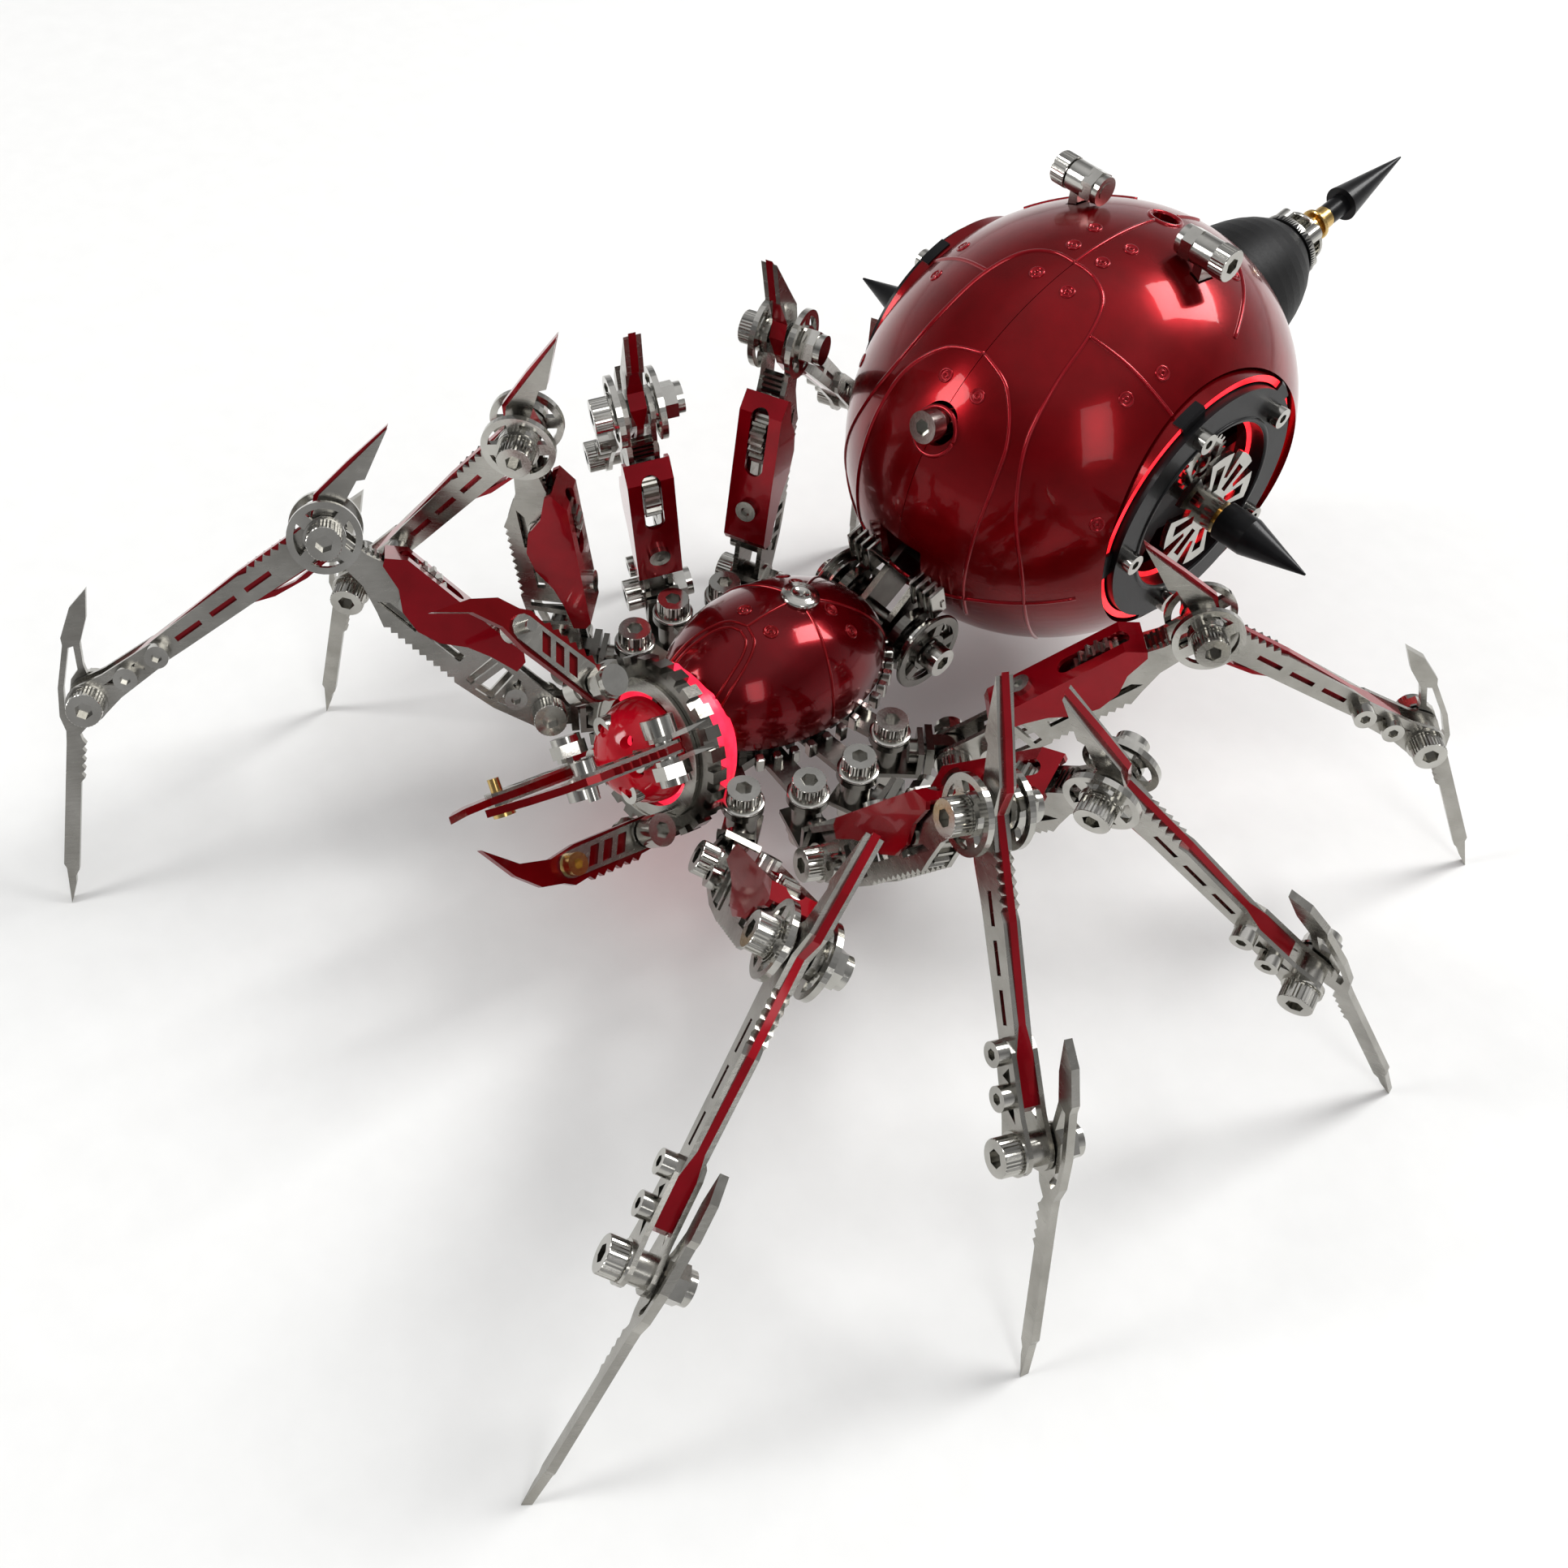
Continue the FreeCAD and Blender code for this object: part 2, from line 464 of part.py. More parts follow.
def place_leg(leg):
    yaw, roll, femur, tarsus = POSES[leg]
    left = leg[0] == "L"
    side = 1 if left else -1
    kit = LEFT if left else RIGHT
    hip_x, hip_y = HIPS[int(leg[1]) - 1]
    hip = V(side * hip_x, hip_y, D["hip_height"])
    heading = rotation(Z_AXIS, yaw if left else 180 - yaw)
    lean = -roll if left else roll
    plane = heading.multiply(rotation(X_AXIS, lean))
    lateral = side * D["tarsus_lateral"]
    shin = tibia_depression(lean, femur, tarsus, lateral)

    pitch = hip + plane.multVec(V(D["coxa_length"], 0, 0))
    femur_turn = plane.multiply(rotation(Y_AXIS, -femur))
    knee = pitch + femur_turn.multVec(V(D["femur_length"], 0, 0))
    tibia_turn = plane.multiply(rotation(Y_AXIS, shin))
    ankle = knee + tibia_turn.multVec(V(D["tibia_length"], 0, 0))
    tarsus_turn = plane.multiply(rotation(Y_AXIS, tarsus))

    rolled = group("tongue_" + leg, [kit["tongue"]], FreeCAD.Placement(ORIGIN, rotation(X_AXIS, lean)))
    coxa = group("coxa_" + leg, [kit["bracket"], rolled], FreeCAD.Placement(hip, heading))
    frame = group("femur_frame_" + leg, [kit["frame"]], FreeCAD.Placement(pitch, femur_turn))
    cover = group("femur_cover_" + leg, [kit["cover"]], FreeCAD.Placement(pitch, femur_turn))
    shank = group("tibia_" + leg, [kit["tibia"]], FreeCAD.Placement(knee, tibia_turn))

    # the foot edge is ground flat where it meets the floor
    world = FreeCAD.Placement(ankle, tarsus_turn)
    floor = block("floor_" + leg, (0, 0, 0), (60, 60, 10))
    floor.Placement = world.inverse().multiply(FreeCAD.Placement(V(ankle.x - 30, ankle.y - 30, -10.0),
                                                                 FreeCAD.Rotation()))
    foot = cut("tarsus_" + leg, kit["tarsus"], [floor])
    foot.Placement = world

    for obj, stem in ((coxa, "coxa"), (frame, "femur_frame"), (cover, "femur_cover"),
                      (shank, "tibia"), (foot, "tarsus")):
        finish(obj, "%s_%s" % (stem, leg))
    axis = plane.multVec(Y_AXIS)
    joints.append((leg, hip, pitch, knee, ankle, axis, shin))


for leg in POSES:
    place_leg(leg)

# ---------------------------------------------------------------- base plate
deck_mid = block("deck_mid", (-11.0, -15.8, D["deck_height"]), (11.0, 21.0, DECK_TOP))
deck_nose = block("deck_nose", (-6.0, -20.2, D["deck_height"]), (6.0, -14.8, DECK_TOP))
deck_tail = block("deck_tail", (-5.6, 20.0, D["deck_height"]), (5.6, 27.0, DECK_TOP))
deck_parts = [deck_mid, deck_nose, deck_tail]
deck_bores = []
for side in (-1, 1):
    for number, (hip_x, hip_y) in enumerate(HIPS):
        tag = "%d_%d" % (number, side + 1)
        root = V(side * 6.0, 0.72 * hip_y, D["deck_height"])
        tip = V(side * hip_x, hip_y, D["deck_height"])
        span = tip - root
        arm = block("arm_" + tag, (0, 0, 0), (span.Length, D["arm_width"], D["deck_plate"]))
        turn = rotation(Z_AXIS, math.degrees(math.atan2(span.y, span.x)))
        arm.Placement = FreeCAD.Placement(root - turn.multVec(V(0, D["arm_width"] / 2, 0)), turn)
        deck_parts.append(arm)
        deck_parts.append(rod("arm_end_" + tag, "Dims.arm_end / 2", "Dims.deck_plate", tuple(tip)))
        deck_bores.append(rod("arm_bore_" + tag, BORE, 4.0, (tip.x, tip.y, D["deck_height"] - 1)))
lower_deck = block("lower_deck", (-8.5, -16.8, 24.6), (8.5, 21.0, 25.8))
standoffs = [
    rod("standoff_%d" % k, 1.7, D["deck_height"] - 25.4, (x, y, 25.6))
    for k, (x, y) in enumerate(((-5, -14), (5, -14), (-5, 17), (5, 17)))
]
rest_boss = rod("rest_boss", 5.0, 1.4, (0, 0, 23.4))
waist_half = 5.4
waist_ears = []
ear_outline = [(20.2, D["deck_height"] + 0.2), (26.0, 28.2)] \
    + arc_points((WAIST.y, WAIST.z), 3.8, -100, 110, 10) + [(28.6, DECK_TOP - 0.2), (20.2, DECK_TOP - 0.2)]
upright = FreeCAD.Rotation(Z_AXIS, 90)
for side in (-1, 1):
    ear = plate("waist_ear_%d" % (side + 1), ear_outline, "Dims.deck_plate", [(WAIST.y, WAIST.z, BORE)], [],
                FreeCAD.Placement(V(side * waist_half, 0, 0), upright))
    waist_ears.append(ear)
# pins that carry the head ring, along the head's own axis
head_turn = rotation(X_AXIS, -HEAD_TILT)
head_place = FreeCAD.Placement(HEAD, head_turn)
NECK_PIN = 1.3
NECK_PIN_SPOTS = ((-2.2, -2.5), (2.2, -2.5))
neck_pins = [
    rod("neck_pin_%d" % k, NECK_PIN, 7.4, (x, 6.6, z), (0, -1, 0))
    for k, (x, z) in enumerate(NECK_PIN_SPOTS)
]
for pin in neck_pins:
    pin.Placement = head_place.multiply(pin.Placement)
deck = cut("deck", fused("deck_blank", deck_parts), deck_bores)
chassis = fused("chassis", [deck, lower_deck, rest_boss] + standoffs)
base_plate = fused("chassis_ears", [chassis] + waist_ears)
finish(fused("base_plate", [base_plate] + neck_pins), "base_plate")

# ---------------------------------------------------------------- thorax shell and track
shell_turn = rotation(X_AXIS, -THORAX_TILT)
SHELL_RIM = 32.9                           # level edge of the shell, above the toothed band
thorax_outer = solid("Ellipsoid", "thorax_outer", Radius1="Dims.thorax_rise", Radius2="Dims.thorax_width / 2",
                     Radius3="Dims.thorax_length / 2")
thorax_inner = solid("Ellipsoid", "thorax_inner", Radius1="Dims.thorax_rise - Dims.shell_wall",
                     Radius2="Dims.thorax_width / 2 - Dims.shell_wall",
                     Radius3="Dims.thorax_length / 2 - Dims.shell_wall")
shell_place = FreeCAD.Placement(THORAX, shell_turn)
thorax_trim = block("thorax_trim", (-30, -40, 0), (30, 40, 30))
thorax_trim.Placement = shell_place.inverse().multiply(
    FreeCAD.Placement(V(0, THORAX.y, SHELL_RIM - 30), FreeCAD.Rotation())).multiply(thorax_trim.Placement)
neck_room = rod("neck_room", D["neck_radius"] + D["gap"], D["neck_length"] + 10.0, (0, -8.0, 0), (0, 1, 0))
neck_room.Placement = shell_place.inverse().multiply(head_place).multiply(neck_room.Placement)
thorax_cut = cut("thorax_cut", thorax_outer, [thorax_inner, thorax_trim, neck_room])
crown = rod("thorax_crown", 3.0, 1.2, (0, 2.6, D["thorax_rise"] - 0.5))
crown_socket = solid("Prism", "crown_socket", (0, 2.6, D["thorax_rise"] - 0.1), Polygon=6, Circumradius=1.2,
                     Height=2.0)
thorax_shell = fused("thorax_shell_local", [thorax_cut, cut("crown_cut", crown, [crown_socket])])
finish(group("thorax_shell", [thorax_shell], shell_place), "thorax_shell")


def oval(count, half_x, half_y):
    steps = [2 * math.pi * k / count for k in range(count)]
    return [(half_x * math.cos(a), half_y * math.sin(a)) for a in steps]


track_teeth = 44
track_outline = []
for k in range(track_teeth):
    for share, grow in ((0.0, 0.0), (0.0, 0.9), (0.5, 0.9), (0.5, 0.0)):
        angle = 2 * math.pi * (k + share) / track_teeth
        track_outline.append(((13.6 + grow) * math.cos(angle), (20.8 + grow) * math.sin(angle)))
flat = FreeCAD.Rotation(X_AXIS, -90)
track = plate("track_local", track_outline, "Dims.track_height", [], [oval(48, 12.0, 19.2)],
              FreeCAD.Placement(V(0, THORAX.y, DECK_TOP + 0.06 + D["track_height"] / 2), flat))
neck_gap = rod("neck_gap", D["neck_radius"] + D["gap"], D["neck_length"] + 10.0, (0, -8.0, 0), (0, 1, 0))
neck_gap.Placement = head_place.multiply(neck_gap.Placement)
finish(cut("thorax_track", track, [neck_gap]), "thorax_track")

# ---------------------------------------------------------------- head: ring, neck light, dome
ring_local = plate("ring_local", gear_points(26, D["ring_outer"] / 2, D["ring_outer"] / 2 - 1.3, 0.55),
                   "Dims.ring_thick", [(0, 0, D["ring_inner"] / 2)])
CLAW_RADIUS = 12.7
CLAW_FORWARD = 8.0
lug_outline = [(0.6, 10.9), (-CLAW_FORWARD, 10.6)] + arc_points((-CLAW_FORWARD, CLAW_RADIUS), 2.5, 240, 90, 7) \
    + [(-4.0, 14.3), (0.6, 14.2)]
lug_side = 1.9
claw_seat = lug_side + 0.4
lug_pair = [
    plate("lug_%s" % side, lug_outline, 0.8, [], [],
          FreeCAD.Placement(V(sign * lug_side, 0, 0), upright))
    for side, sign in (("left", 1), ("right", -1))
]
claw_bolt_screw = cap_screw("claw_bolt_screw", "three", 2 * claw_seat + 0.4)
claw_pin = placed("claw_pin", claw_bolt_screw, (-claw_seat, -CLAW_FORWARD, CLAW_RADIUS), (1, 0, 0))
claw_nut = placed("claw_nut", nut, (claw_seat, -CLAW_FORWARD, CLAW_RADIUS), (1, 0, 0))
lug_set = fused("lug_set", lug_pair + [claw_pin, claw_nut])
CLAW_TURNS = {"upper_left": 45.0, "lower_left": 135.0, "lower_right": 225.0, "upper_right": 315.0}
lugs = [
    group("lug_set_" + name, [lug_set], FreeCAD.Placement(ORIGIN, rotation(Y_AXIS, turn)))
    for name, turn in CLAW_TURNS.items()
]
spokes = [
    block("ring_spoke_%d" % k, low, high)
    for k, (low, high) in enumerate((((-12.0, -1.2, -1.0), (12.0, 1.2, 1.0)),
                                     ((-1.0, -1.2, -12.0), (1.0, 1.2, 12.0))))
]
ring_hub = rod("ring_hub", 4.6, 2.4, (0, 1.2, 0), (0, -1, 0))
hub_bores = [
    rod("hub_bore_%d" % k, NECK_PIN + D["bore_clearance"], 4.0, (x, 2.0, z), (0, -1, 0))
    for k, (x, z) in enumerate(NECK_PIN_SPOTS)
]
head_ring = cut("head_ring_local", fused("head_ring_blank", [ring_local, ring_hub] + spokes + lugs), hub_bores)
finish(group("head_gear_ring", [head_ring], head_place), "head_gear_ring")

neck_tube = rod("neck_tube", "Dims.neck_radius", "Dims.neck_length", (0, 1.6, 0), (0, 1, 0))
neck_hole = rod("neck_hole", "Dims.neck_radius - 1.6", 10.0, (0, 1.0, 0), (0, 1, 0))
neck = cut("neck_local", neck_tube, [neck_hole])
finish(group("neck_light", [neck], head_place), "neck_light")

dome_ball = solid("Sphere", "dome_ball", (0, -1.6, 0), Radius="Dims.dome_radius")
dome_core = solid("Sphere", "dome_core", (0, -1.6, 0), Radius="Dims.dome_radius - 1.4")
dome_back = block("dome_back", (-12, -1.6, -12), (12, 12, 12))
dome_ports = []
for k, (x, z) in enumerate(ring_points(6, 5.2, 15)):
    dome_ports.append(rod("dome_port_%d" % k, 1.0, 14.0, (x, 0, z), (0, -1, 0)))
dome_cut = cut("dome_cut", dome_ball, [dome_core, dome_back] + dome_ports)
dome_screw = cap_screw("dome_screw", "two", 1.5)
eyes = [
    placed("dome_eye_%d" % k, dome_screw, (x, -6.9, z), (0, 1, 0))
    for k, (x, z) in enumerate(((4.6, 3.4), (-4.6, 3.4), (4.6, -3.4), (-4.6, -3.4)))
]
finish(group("head_dome", [fused("head_dome_local", [dome_cut] + eyes)], head_place), "head_dome")

# ---------------------------------------------------------------- claws, drawn pointing along local +X
claw_outline = (
    arc_points((0, 0), 2.9, 250, 110, 9)
    + saw(2.0, 13.0, 6, 3.0, 0.8)
    + [(16.0, 3.4), (18.0, 2.4), (22.0, 1.6), (26.0, -1.6)]
    + [(30.4, -7.4), (24.6, -3.2), (19.0, -2.0), (14.0, -2.8)]
)
claw_plate_outline = (
    arc_points((0, 0), 2.6, 250, 110, 9) + [(12.0, 2.2)]
    + arc_points((16.0, 0), 2.2, 90, -90, 7) + [(5.0, -2.4)]
)
claw_windows = [
    [(3.8 + 2.9 * k, -1.5), (5.4 + 2.9 * k, 1.5), (7.2 + 2.9 * k, 1.5), (5.6 + 2.9 * k, -1.5)]
    for k in range(3)
]
claw_core = plate("claw_core", claw_outline, 1.2, [(0, 0, BORE)])
claw_covers = [
    plate("claw_cover_%s" % side, claw_plate_outline, 0.5, [(0, 0, BORE)], claw_windows, across(sign * 0.85))
    for side, sign in (("front", -1), ("rear", 1))
]
claw_two = placed("claw_two", cap_screw("claw_two_screw", "two", 4.4), (16.0, -1.1, 0), (0, 1, 0))
claw_local = fused("claw_local", [claw_core] + claw_covers + [claw_two])
CLAW_REST = {"upper_left": 0.0, "lower_left": 0.0, "lower_right": 0.0, "upper_right": 50.0}
for name, turn in CLAW_TURNS.items():
    around = rotation(Y_AXIS, turn)
    pivot = HEAD + head_turn.multVec(around.multVec(V(0, -CLAW_FORWARD, CLAW_RADIUS)))
    # local X forward, local Y across the lug, local Z outward
    forward = FreeCAD.Rotation(Z_AXIS, -90)
    open_turn = rotation(Y_AXIS, -CLAW_REST[name])
    turn_all = head_turn.multiply(around).multiply(forward).multiply(open_turn)
    finish(group("claw_" + name, [claw_local], FreeCAD.Placement(pivot, turn_all)), "claw_" + name)

# ---------------------------------------------------------------- waist wheels on the hinge axle
wheel_inner = waist_half + D["deck_plate"] / 2 + 0.1
pulley_windows = []
for k in range(5):
    start = 72 * k + 10
    pulley_windows.append(arc_points((0, 0), 5.0, start, start + 50, 6)
                          + arc_points((0, 0), 3.3, start + 44, start + 6, 4))
disc_holes = [(x, z, 1.3) for x, z in ring_points(4, 4.3, 45)]
waist_bits = [rod("waist_axle", 1.5, 2 * 13.2, (-13.2, 0, 0), (1, 0, 0))]
for side in (-1, 1):
    tag = "left" if side > 0 else "right"
    pulley = plate("pulley_" + tag, ring_points(48, 6.2), 1.8, [], pulley_windows,
                   FreeCAD.Placement(V(side * (wheel_inner + 1.0), 0, 0), upright))
    disc = plate("disc_" + tag, ring_points(40, 6.0), 1.2, disc_holes, [],
                 FreeCAD.Placement(V(side * (wheel_inner + 4.2), 0, 0), upright))
    hub = rod("waist_hub_" + tag, 2.8, 5.0, (side * wheel_inner, 0, 0), (side, 0, 0))
    head = placed("waist_head_" + tag, cap_screw("waist_screw_" + tag, "three", 1.0),
                  (side * 12.2, 0, 0), (-side, 0, 0))
    waist_bits += [pulley, disc, hub, head]
finish(group("waist_wheels", [fused("waist_wheels_local", waist_bits)],
             FreeCAD.Placement(WAIST, FreeCAD.Rotation())), "waist_wheels")

# ---------------------------------------------------------------- abdomen frame
abdomen_turn = rotation(X_AXIS, ABDOMEN_TILT)
drum = cut("drum",
           rod("drum_outer", "Dims.drum_radius", "Dims.drum_half * 2",
               (-D["drum_half"], SIDE_AXLE.y, SIDE_AXLE.z), (1, 0, 0)),
           [rod("drum_inner", "Dims.drum_radius - 1.6", 60.0, (-30, SIDE_AXLE.y, SIDE_AXLE.z), (1, 0, 0))])
face_windows = []
for k in range(6):
    start = 60 * k + 8
    face_windows.append(arc_points((SIDE_AXLE.y, SIDE_AXLE.z), 18.5, start, start + 44, 7)
                        + arc_points((SIDE_AXLE.y, SIDE_AXLE.z), 8.5, start + 38, start + 6, 4))
drum_faces = [
    plate("drum_face_%d" % (side + 1), ring_points(60, D["drum_radius"] - 0.8, 0, (SIDE_AXLE.y, SIDE_AXLE.z)),
          1.6, [(SIDE_AXLE.y, SIDE_AXLE.z, BORE)], face_windows,
          FreeCAD.Placement(V(side * (D["drum_half"] - 0.8), 0, 0), upright))
    for side in (-1, 1)
]
bracket_outline = arc_points((WAIST.y, WAIST.z), 4.0, 130, 310, 9) \
    + [(44.0, 33.6), (56.0, 43.0), (57.5, 50.0), (52.0, 50.0), (40.0, 42.0)]
brackets = [
    plate("waist_bracket_%d" % (side + 1), bracket_outline, 1.2, [(WAIST.y, WAIST.z, BORE)], [],
          FreeCAD.Placement(V(side * 3.4, 0, 0), upright))
    for side in (-1, 1)
]
bracket_web = block("bracket_web", (-3.4, 41.0, 37.4), (3.4, 44.0, 39.0))
POST_X, POST_Y, POST_TOP = 13.8, 85.0, 92.0
post_bits = []
post_screw = cap_screw("post_screw", "three", 7.4)
for side in (-1, 1):
    tag = "left" if side > 0 else "right"
    x = side * POST_X
    post_bits += [
        block("post_" + tag, (x - 0.9, POST_Y - 1.8, 73.6), (x + 0.9, POST_Y + 1.8, POST_TOP + 1.6)),
        placed("post_bolt_" + tag, post_screw, (x + side * 2.2, POST_Y, POST_TOP), (-side, 0, 0)),
        placed("post_nut_" + tag, nut, (x - side * 1.7, POST_Y, POST_TOP), (-side, 0, 0)),
        rod("post_washer_" + tag, "Dims.head_three / 2", 4.0, (x - 1.8, POST_Y, POST_TOP), (1, 0, 0)),
    ]
front_lug = [
    rod("front_lug", 2.2, 22.0, (0, 38.6, 70.4), (0, 1, -0.28)),
    placed("front_screw", cap_screw("front_screw_source", "three", 4.0), (0, 38.0, 70.6), (0, 1, -0.28)),
]
tail_axis = rotation(X_AXIS, TAIL_TILT).multVec(Y_AXIS)
tail_stud = rod("tail_stud", 1.5, 46.0, (0, TAIL.y - 20.0 * tail_axis.y, TAIL.z - 20.0 * tail_axis.z),
                tuple(tail_axis))
frame_blank = fused("abdomen_frame_blank", [drum] + drum_faces + brackets + [bracket_web, tail_stud]
                    + post_bits + front_lug)
finish(frame_blank, "abdomen_frame")

# ---------------------------------------------------------------- abdomen shells
abdomen_place = FreeCAD.Placement(ABDOMEN, abdomen_turn)
shell_outer = solid("Ellipsoid", "abdomen_outer", Radius1="Dims.abdomen_height / 2",
                    Radius2="Dims.abdomen_width / 2", Radius3="Dims.abdomen_length / 2")
shell_inner = solid("Ellipsoid", "abdomen_inner", Radius1="Dims.abdomen_height / 2 - Dims.abdomen_wall",
                    Radius2="Dims.abdomen_width / 2 - Dims.abdomen_wall",
                    Radius3="Dims.abdomen_length / 2 - Dims.abdomen_wall")
for body in (shell_outer, shell_inner):
    body.Placement = abdomen_place
openings = [
    rod("side_bore", "Dims.side_opening", 100.0, (-50, SIDE_AXLE.y, SIDE_AXLE.z), (1, 0, 0)),
    rod("tail_bore", "Dims.tail_base + 0.5", 30.0, tuple(TAIL - tail_axis * 8), tuple(tail_axis)),
    rod("front_bore", 3.6, 12.0, (0, 31.0, 72.6), (0, 1, -0.28)),
    rod("top_bore", 2.4, 12.0, (0, 92.0, 80.0)),
    block("waist_slot", (-5.0, 26.0, 26.0), (5.0, 48.0, 48.0)),
]
for side in (-1, 1):
    x = side * POST_X
    openings.append(block("post_slot_%d" % (side + 1), (x - 1.2, POST_Y - 2.1, 70.0),
                          (x + 1.2, POST_Y + 2.1, 95.0)))
shell_all = cut("abdomen_shell_all", shell_outer, [shell_inner] + openings)
for label, low, high in (("abdomen_shell_left", 0.06, 60.0), ("abdomen_shell_right", -60.0, -0.06)):
    half = doc.addObject("Part::Common", label)
    half.Base = shell_all
    half.Tool = block(label + "_half", (low, 20, 0), (high, 140, 110))
    finish(half, label)

# ---------------------------------------------------------------- side rings, lights, wheels, spikes
def annulus(name, outer, inner, low, high):
    """Ring about the side axle between two X positions."""
    span = high - low
    base = (low, SIDE_AXLE.y, SIDE_AXLE.z)
    return cut(name, rod(name + "_outer", outer, span, base, (1, 0, 0)),
               [rod(name + "_inner", inner, span + 2, (low - 1, SIDE_AXLE.y, SIDE_AXLE.z), (1, 0, 0))])


ring_bits = []
light_bits = []
ring_screw = cap_screw("ring_screw", "two", 1.0)
for side in (-1, 1):
    tag = "left" if side > 0 else "right"
    ends = sorted((side * 28.6, side * 31.4))
    ring_bits.append(annulus("side_ring_" + tag, 22.8, 16.4, *ends))
    for k, (y, z) in enumerate(ring_points(5, 19.8, 40, (SIDE_AXLE.y, SIDE_AXLE.z))):
        ring_bits.append(placed("ring_screw_%s_%d" % (tag, k), ring_screw, (side * 31.4, y, z), (-side, 0, 0)))
    outer_ends = sorted((side * 26.6, side * 29.8))
    light_bits.append(annulus("light_outer_" + tag, 24.4, 23.2, *outer_ends))
    inner_ends = sorted((side * 26.0, side * 28.2))
    light_bits.append(annulus("light_inner_" + tag, 19.4, 15.6, *inner_ends))
finish(group("side_rings", [fused("side_rings_local", ring_bits)]), "side_rings")
finish(group("light_rings", light_bits), "light_rings")

geneva_outline = []
for k in range(8):
    centre = 45.0 * k
    reach = D["side_wheel"] / 2
    geneva_outline += arc_points((0, 0), reach, centre - 15, centre + 15, 5)
    geneva_outline += arc_points((0, 0), 6.4, centre + 17.5, centre + 27.5, 3)
geneva_windows = [
    [(r * math.cos(math.radians(45 * k + a)), r * math.sin(math.radians(45 * k + a)))
     for r, a in ((4.2, -12), (9.4, -7), (9.4, 7), (4.2, 12))]
    for k in range(8)
]
wheel_bits = [rod("side_axle", 1.5, "Dims.axle_half * 2", (-D["axle_half"], 0, 0), (1, 0, 0))]
spike_bits = []
for side in (-1, 1):
    tag = "left" if side > 0 else "right"
    wheel_bits.append(plate("geneva_" + tag, geneva_outline, "Dims.side_wheel_thick", [], geneva_windows,
                            FreeCAD.Placement(V(side * 32.4, 0, 0), upright)))
    wheel_bits.append(rod("bush_" + tag, 3.0, 3.2, (side * 32.2, 0, 0), (side, 0, 0)))
    cone = solid("Cone", "spike_cone_" + tag, (side * 42.0, 0, 0), (side, 0, 0), Radius1="Dims.spike_radius",
                 Radius2=0.2, Height="Dims.spike_length - 5.8")
    root = rod("spike_root_" + tag, "Dims.spike_radius", 5.6, (side * 36.4, 0, 0), (side, 0, 0))
    bore = rod("spike_bore_" + tag, 1.6, 3.0, (side * 35.0, 0, 0), (side, 0, 0))
    spike_bits.append(cut("spike_" + tag, fused("spike_blank_" + tag, [cone, root]), [bore]))
axle_place = FreeCAD.Placement(SIDE_AXLE, FreeCAD.Rotation())
finish(group("side_wheels", [fused("side_wheels_local", wheel_bits)], axle_place), "side_wheels")
finish(group("side_spikes", spike_bits, axle_place), "side_spikes")

# ---------------------------------------------------------------- tail, drawn along local +Y
tail_place = FreeCAD.Placement(TAIL, rotation(X_AXIS, TAIL_TILT))


def tail_radius(share, base):
    """Radius of the tail dome at a share of its length, full at the root and rounding in to the end."""
    taper = 1 - (D["tail_end"] / D["tail_base"]) ** 2
    return base * math.sqrt(1 - taper * share ** 2)


dome_run = [k / 9 for k in range(10)]
dome_span = D["tail_length"] - 1.6
dome_outside = [(-2.0 + dome_span * u, tail_radius(u, D["tail_base"])) for u in dome_run]
dome_inside = [
    (-2.0 + (dome_span - 1.6) * u, tail_radius(u, D["tail_base"] - 1.6))
    for u in reversed(dome_run)
]
tail_skin = turned("tail_skin", dome_outside + [(-2.0 + dome_span, 2.0), (-3.6 + dome_span, 2.0)] + dome_inside)
tail_skin.Placement = FreeCAD.Placement(ORIGIN, upright)
tail_hole = rod("tail_hole", 1.56, 40.0, (0, -10.0, 0), (0, 1, 0))
tail_flange = rod("tail_flange", 6.6, 1.4, (0, dome_span - 2.4, 0), (0, 1, 0))
tail_nut_ring = [
    rod("tail_nut_%d" % k, 1.7, 4.0, (x, D["tail_length"] - 3.2, z), (0, 1, 0))
    for k, (x, z) in enumerate(ring_points(4, 4.6, 45))
]
tail = cut("tail_local", fused("tail_blank", [tail_skin, tail_flange] + tail_nut_ring), [tail_hole])
finish(group("tail_cone", [tail], tail_place), "tail_cone")

spear_base = D["tail_length"] + 1.4
collar = rod("spear_collar", 2.4, 3.0, (0, spear_base, 0), (0, 1, 0))
collar_neck = rod("spear_neck", 1.7, 6.0, (0, spear_base, 0), (0, 1, 0))
collar_top = rod("spear_collar_top", 2.2, 2.6, (0, spear_base + 4.6, 0), (0, 1, 0))
spear_shaft = rod("spear_shaft", 2.1, 6.4, (0, spear_base + 7.0, 0), (0, 1, 0))
spear_head = solid("Cone", "spear_head", (0, spear_base + 12.2, 0), (0, 1, 0), Radius1="Dims.spear_radius",
                   Radius2=0.2, Height="Dims.spear_length")
spear_bore = rod("spear_bore", 1.56, 9.0, (0, spear_base - 1.0, 0), (0, 1, 0))
spear = cut("spear_local", fused("spear_blank", [collar, collar_neck, collar_top, spear_shaft, spear_head]),
            [spear_bore])
finish(group("tail_spear", [spear], tail_place), "tail_spear")

